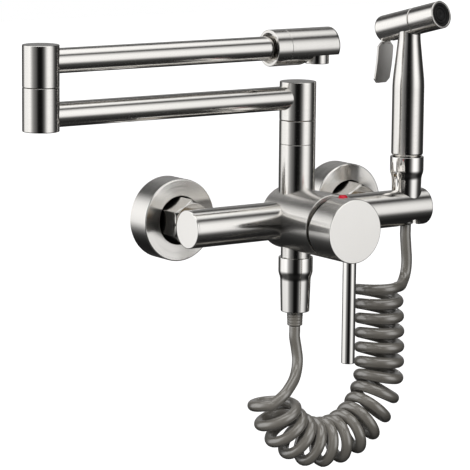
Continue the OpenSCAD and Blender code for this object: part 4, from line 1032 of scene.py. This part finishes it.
# %% Sprayer handle and nozzle
GRIP_R, NECK_R = 11.7, 8.2
turned("sprayer_grip",
       [(0, 34), (9, 34), (9, 38.4), (10.4, 38.4, 0.2), (GRIP_R, 39.9, 0.9), (GRIP_R, 92.4, 5),
        (NECK_R, 124.4, 6), (NECK_R, 130), (0, 130)],
       up_sprayer, steel_turned, "sprayer", ["spray_handle"], steps=10)
BARREL_R = 10
head = turned("head_barrel", [(0, -27.3), (BARREL_R, -27.3, 2.4), (BARREL_R, 7.0, 0.5), (0, 7.0)],
              along_head, steel_turned, "sprayer", ["spray_head"], sides=144, steps=8)
drilled(head, block("trigger_slot", along_head, (-4.3, -20, -40), (4.3, 5.3, -18.3)))
turned("nozzle_ring",
       [(BARREL_R, 7.8, 0.5), (BARREL_R, 32.2, 0.6), (8.5, 32.2, 0.3), (8.5, 7.05), (9.2, 7.05),
        (9.2, 7.8)],
       along_head, steel_turned, "sprayer", ["nozzle_sleeve"], closed=True)
turned("nozzle_face",
       [(0, 28.2), (8.45, 28.2), (8.45, 31.5, 0.3), (7.1, 31.5, 0.2), (6.8, 30.6, 0.2),
        (6.3, 30.6, 0.2), (6.0, 31.4, 0.3), (4.9, 31.4, 0.3), (4.6, 30.6, 0.2), (4.1, 30.6, 0.2),
        (3.8, 31.4, 0.3), (1.6, 31.4, 0.3), (1.2, 30.9, 0.2), (0, 30.9)],
       along_head, black_plastic, "sprayer", ["nozzle_plate"], slot="black_plastic", steps=3)
print("sprayer dressed")

# %% [markdown]
# ## Floor
# The tap hangs on a wall that isn't shown, so the plain pale floor lies well below it and only
# fills the picture. It is hidden from reflections and from the light that falls on dull
# pieces, because it would lighten every underside.

# %% Floor
FLOOR_Z, FLOOR_HALF = -6, 60
pale, tree, shader = material("pale floor")
shader.inputs["Base Color"].default_value = (0.9, 0.9, 0.9, 1)
shader.inputs["Roughness"].default_value = 0.9
shader.inputs["Emission Color"].default_value = (1, 1, 1, 1)
shader.inputs["Emission Strength"].default_value = 1.0
floor_mesh = bpy.data.meshes.new("floor")
floor_corners = [(FLOOR_HALF * x, FLOOR_HALF * y, FLOOR_Z)
                 for x, y in ((-1, -1), (1, -1), (1, 1), (-1, 1))]
floor_mesh.from_pydata(floor_corners, [], [(0, 1, 2, 3)])
floor_mesh.materials.append(pale)
floor = bpy.data.objects.new("floor", floor_mesh)
bpy.context.scene.collection.objects.link(floor)
floor.visible_glossy = False
floor.visible_diffuse = False
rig.stage(floor)
print("floor at", FLOOR_Z, "m")

# %% [markdown]
# ## Soft lamps
# Metal shows what it reflects, but the grey hose and the black plastics need lamps. The key
# lamp stands in front on the left, as in the photograph, and is wide, so that the cap throws
# no hard shadow on the curls. A fill behind keeps the back of the hose from going black.
# Both are hidden from reflections, where they would show as discs.

# %% Soft lamps
LAMP_AIM = np.array([0, 0, -0.05])


def soft_lamp(name, place, power, size):
    """Round soft lamp at a place in metres, aimed a little under the tap's middle."""
    lamp = bpy.data.lights.new(name, "AREA")
    lamp.shape, lamp.size, lamp.energy = "DISK", size, power
    made = bpy.data.objects.new(name, lamp)
    aimed = axes(np.array(place), np.array(place) - LAMP_AIM, [0, 0, 1])
    made.matrix_world = Matrix(aimed.tolist())
    made.visible_glossy = False
    bpy.context.scene.collection.objects.link(made)
    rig.stage(made)
    print(name, power, "W")


soft_lamp("key", (-1.75, -2.1, 1.45), power=120, size=1.8)
soft_lamp("fill", (1.5, 2.1, 1.0), power=70, size=1.0)

# %% [markdown]
# ## Studio light
# What the metal reflects is a soft studio worked out in the world: a tall bright panel on each
# side, a bright ceiling, a weak panel behind the tap that shows in the edges of tubes, and a
# dark gap where the camera stands. Cylinders draw these out into the bright and dark stripes
# that make them read as metal. Area lamps would give such panels too, but curves of
# brightness round the horizon and by height can be set against the photograph's own stripes.

# %% Studio light
# Brightness round the horizon, by degrees from the camera towards its right
AROUND = [(-180, 0.26), (-166, 0.24), (-158, 0.14), (-150, 0.08), (-130, 0.08), (-124, 0.38),
          (-117, 0.95), (-107, 1.22), (-97, 1.25), (-88, 1.25), (-80, 1.32), (-66, 1.38),
          (-59, 1.05), (-52, 0.63), (-45, 0.40), (-39, 0.29), (-33, 0.21), (-26, 0.15),
          (-20, 0.085), (-14, 0.018), (-7, 0.005), (6, 0.005), (12, 0.017), (18, 0.060),
          (23, 0.14), (28, 0.28), (34, 0.58), (40, 0.97), (47, 1.25), (53, 1.32), (60, 1.32),
          (67, 1.22), (74, 1.0), (82, 0.64), (90, 0.27), (99, 0.09), (109, 0.045), (120, 0.028),
          (135, 0.035), (150, 0.08), (158, 0.14), (166, 0.24), (180, 0.26)]
# Share of that brightness by height in degrees
HEIGHT = [(-90, 0.03), (-48, 0.035), (-41, 0.045), (-34, 0.05), (-27, 0.075), (-20, 0.26),
          (-14, 0.60), (-9, 0.84), (-5, 0.88), (8, 0.95), (22, 0.98), (30, 0.85), (35, 0.62),
          (42, 0.12), (47, 0.06), (90, 0.05)]
# Brightness that is the same all round, by height: the ceiling, and a little from below
EVERYWHERE = [(-90, 0.05), (-62, 0.04), (-50, 0.01), (-25, 0.004), (-5, 0.0), (20, 0.0),
              (44, 0.012), (47, 0.15), (52, 0.95), (57, 1.2), (90, 1.2)]
# Share of the studio's light that falls on dull pieces, which the lamps light instead
DULL_SHARE = 0.14


def ramp(tree, value, stops):
    """Brightness along a list of (degrees, brightness) stops, by straight lines between them. The
    value runs from 0 at the first stop to 1 at the last."""
    made = tree.nodes.new("ShaderNodeFloatCurve")
    line = made.mapping.curves[0]
    low, high = stops[0][0], stops[-1][0]
    most = max(brightness for _, brightness in stops)
    while len(line.points) < len(stops):
        line.points.new(0.5, 0.5)
    for point, (degrees, brightness) in zip(line.points, stops):
        point.location = ((degrees - low) / (high - low), brightness / most)
        point.handle_type = "VECTOR"
    made.mapping.update()
    tree.links.new(value, made.inputs["Value"])
    scaled = tree.nodes.new("ShaderNodeMath")
    scaled.operation = "MULTIPLY"
    scaled.inputs[1].default_value = most
    tree.links.new(made.outputs["Value"], scaled.inputs[0])
    return scaled.outputs[0]


def maths(tree, kind, a, b, c=None):
    """One Math node on two or three values or sockets."""
    made = tree.nodes.new("ShaderNodeMath")
    made.operation = kind
    for socket, value in zip(made.inputs, (a, b) if c is None else (a, b, c)):
        if isinstance(value, (int, float)):
            socket.default_value = value
        else:
            tree.links.new(value, socket)
    return made.outputs[0]


def dot(tree, vector, fixed):
    """How far a direction leans towards a fixed one: the cosine between them."""
    made = tree.nodes.new("ShaderNodeVectorMath")
    made.operation = "DOT_PRODUCT"
    made.inputs[1].default_value = tuple(fixed)
    tree.links.new(vector, made.inputs[0])
    return made.outputs["Value"]


studio = bpy.data.worlds.new("studio")
bpy.context.scene.world = studio
studio.use_nodes = True
tree = studio.node_tree
tree.nodes.clear()
direction = tree.nodes.new("ShaderNodeTexCoord").outputs["Generated"]
to_camera = -np.array([math.sin(YAW), math.cos(YAW), 0])
to_right = np.array([math.cos(YAW), -math.sin(YAW), 0])
around = maths(tree, "ARCTAN2", dot(tree, direction, to_right), dot(tree, direction, to_camera))
around = maths(tree, "MULTIPLY_ADD", around, 1 / (2 * math.pi), 0.5)
height = maths(tree, "ARCSINE", dot(tree, direction, (0, 0, 1)), 0)
height = maths(tree, "MULTIPLY_ADD", height, 1 / math.pi, 0.5)
panels = maths(tree, "MULTIPLY", ramp(tree, around, AROUND), ramp(tree, height, HEIGHT))
light = maths(tree, "ADD", panels, ramp(tree, height, EVERYWHERE))
rays = tree.nodes.new("ShaderNodeLightPath")
dull = maths(tree, "MULTIPLY_ADD", rays.outputs["Is Diffuse Ray"], DULL_SHARE - 1.0, 1.0)
light = maths(tree, "MULTIPLY", light, dull)
mix = tree.nodes.new("ShaderNodeMix")
mix.data_type = "RGBA"
mix.inputs["B"].default_value = (1, 1, 1, 1)
background = tree.nodes.new("ShaderNodeBackground")
output = tree.nodes.new("ShaderNodeOutputWorld")
tree.links.new(rays.outputs["Is Camera Ray"], mix.inputs["Factor"])
tree.links.new(light, mix.inputs["A"])
tree.links.new(mix.outputs["Result"], background.inputs["Color"])
tree.links.new(background.outputs["Background"], output.inputs["Surface"])
bpy.context.scene.view_settings.view_transform = "Standard"
print("studio light made")

# %% [markdown]
# ## Sizes
# The box of the solids and the box of what is shown are written down together, so that the
# dressing can be set beside the frame.

# %% Sizes
with open("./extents.json", "w") as file:
    json.dump({"cad": cad_bounds, "visual": [list(corner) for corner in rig.bounds()]}, file)
print(json.load(open("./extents.json")))
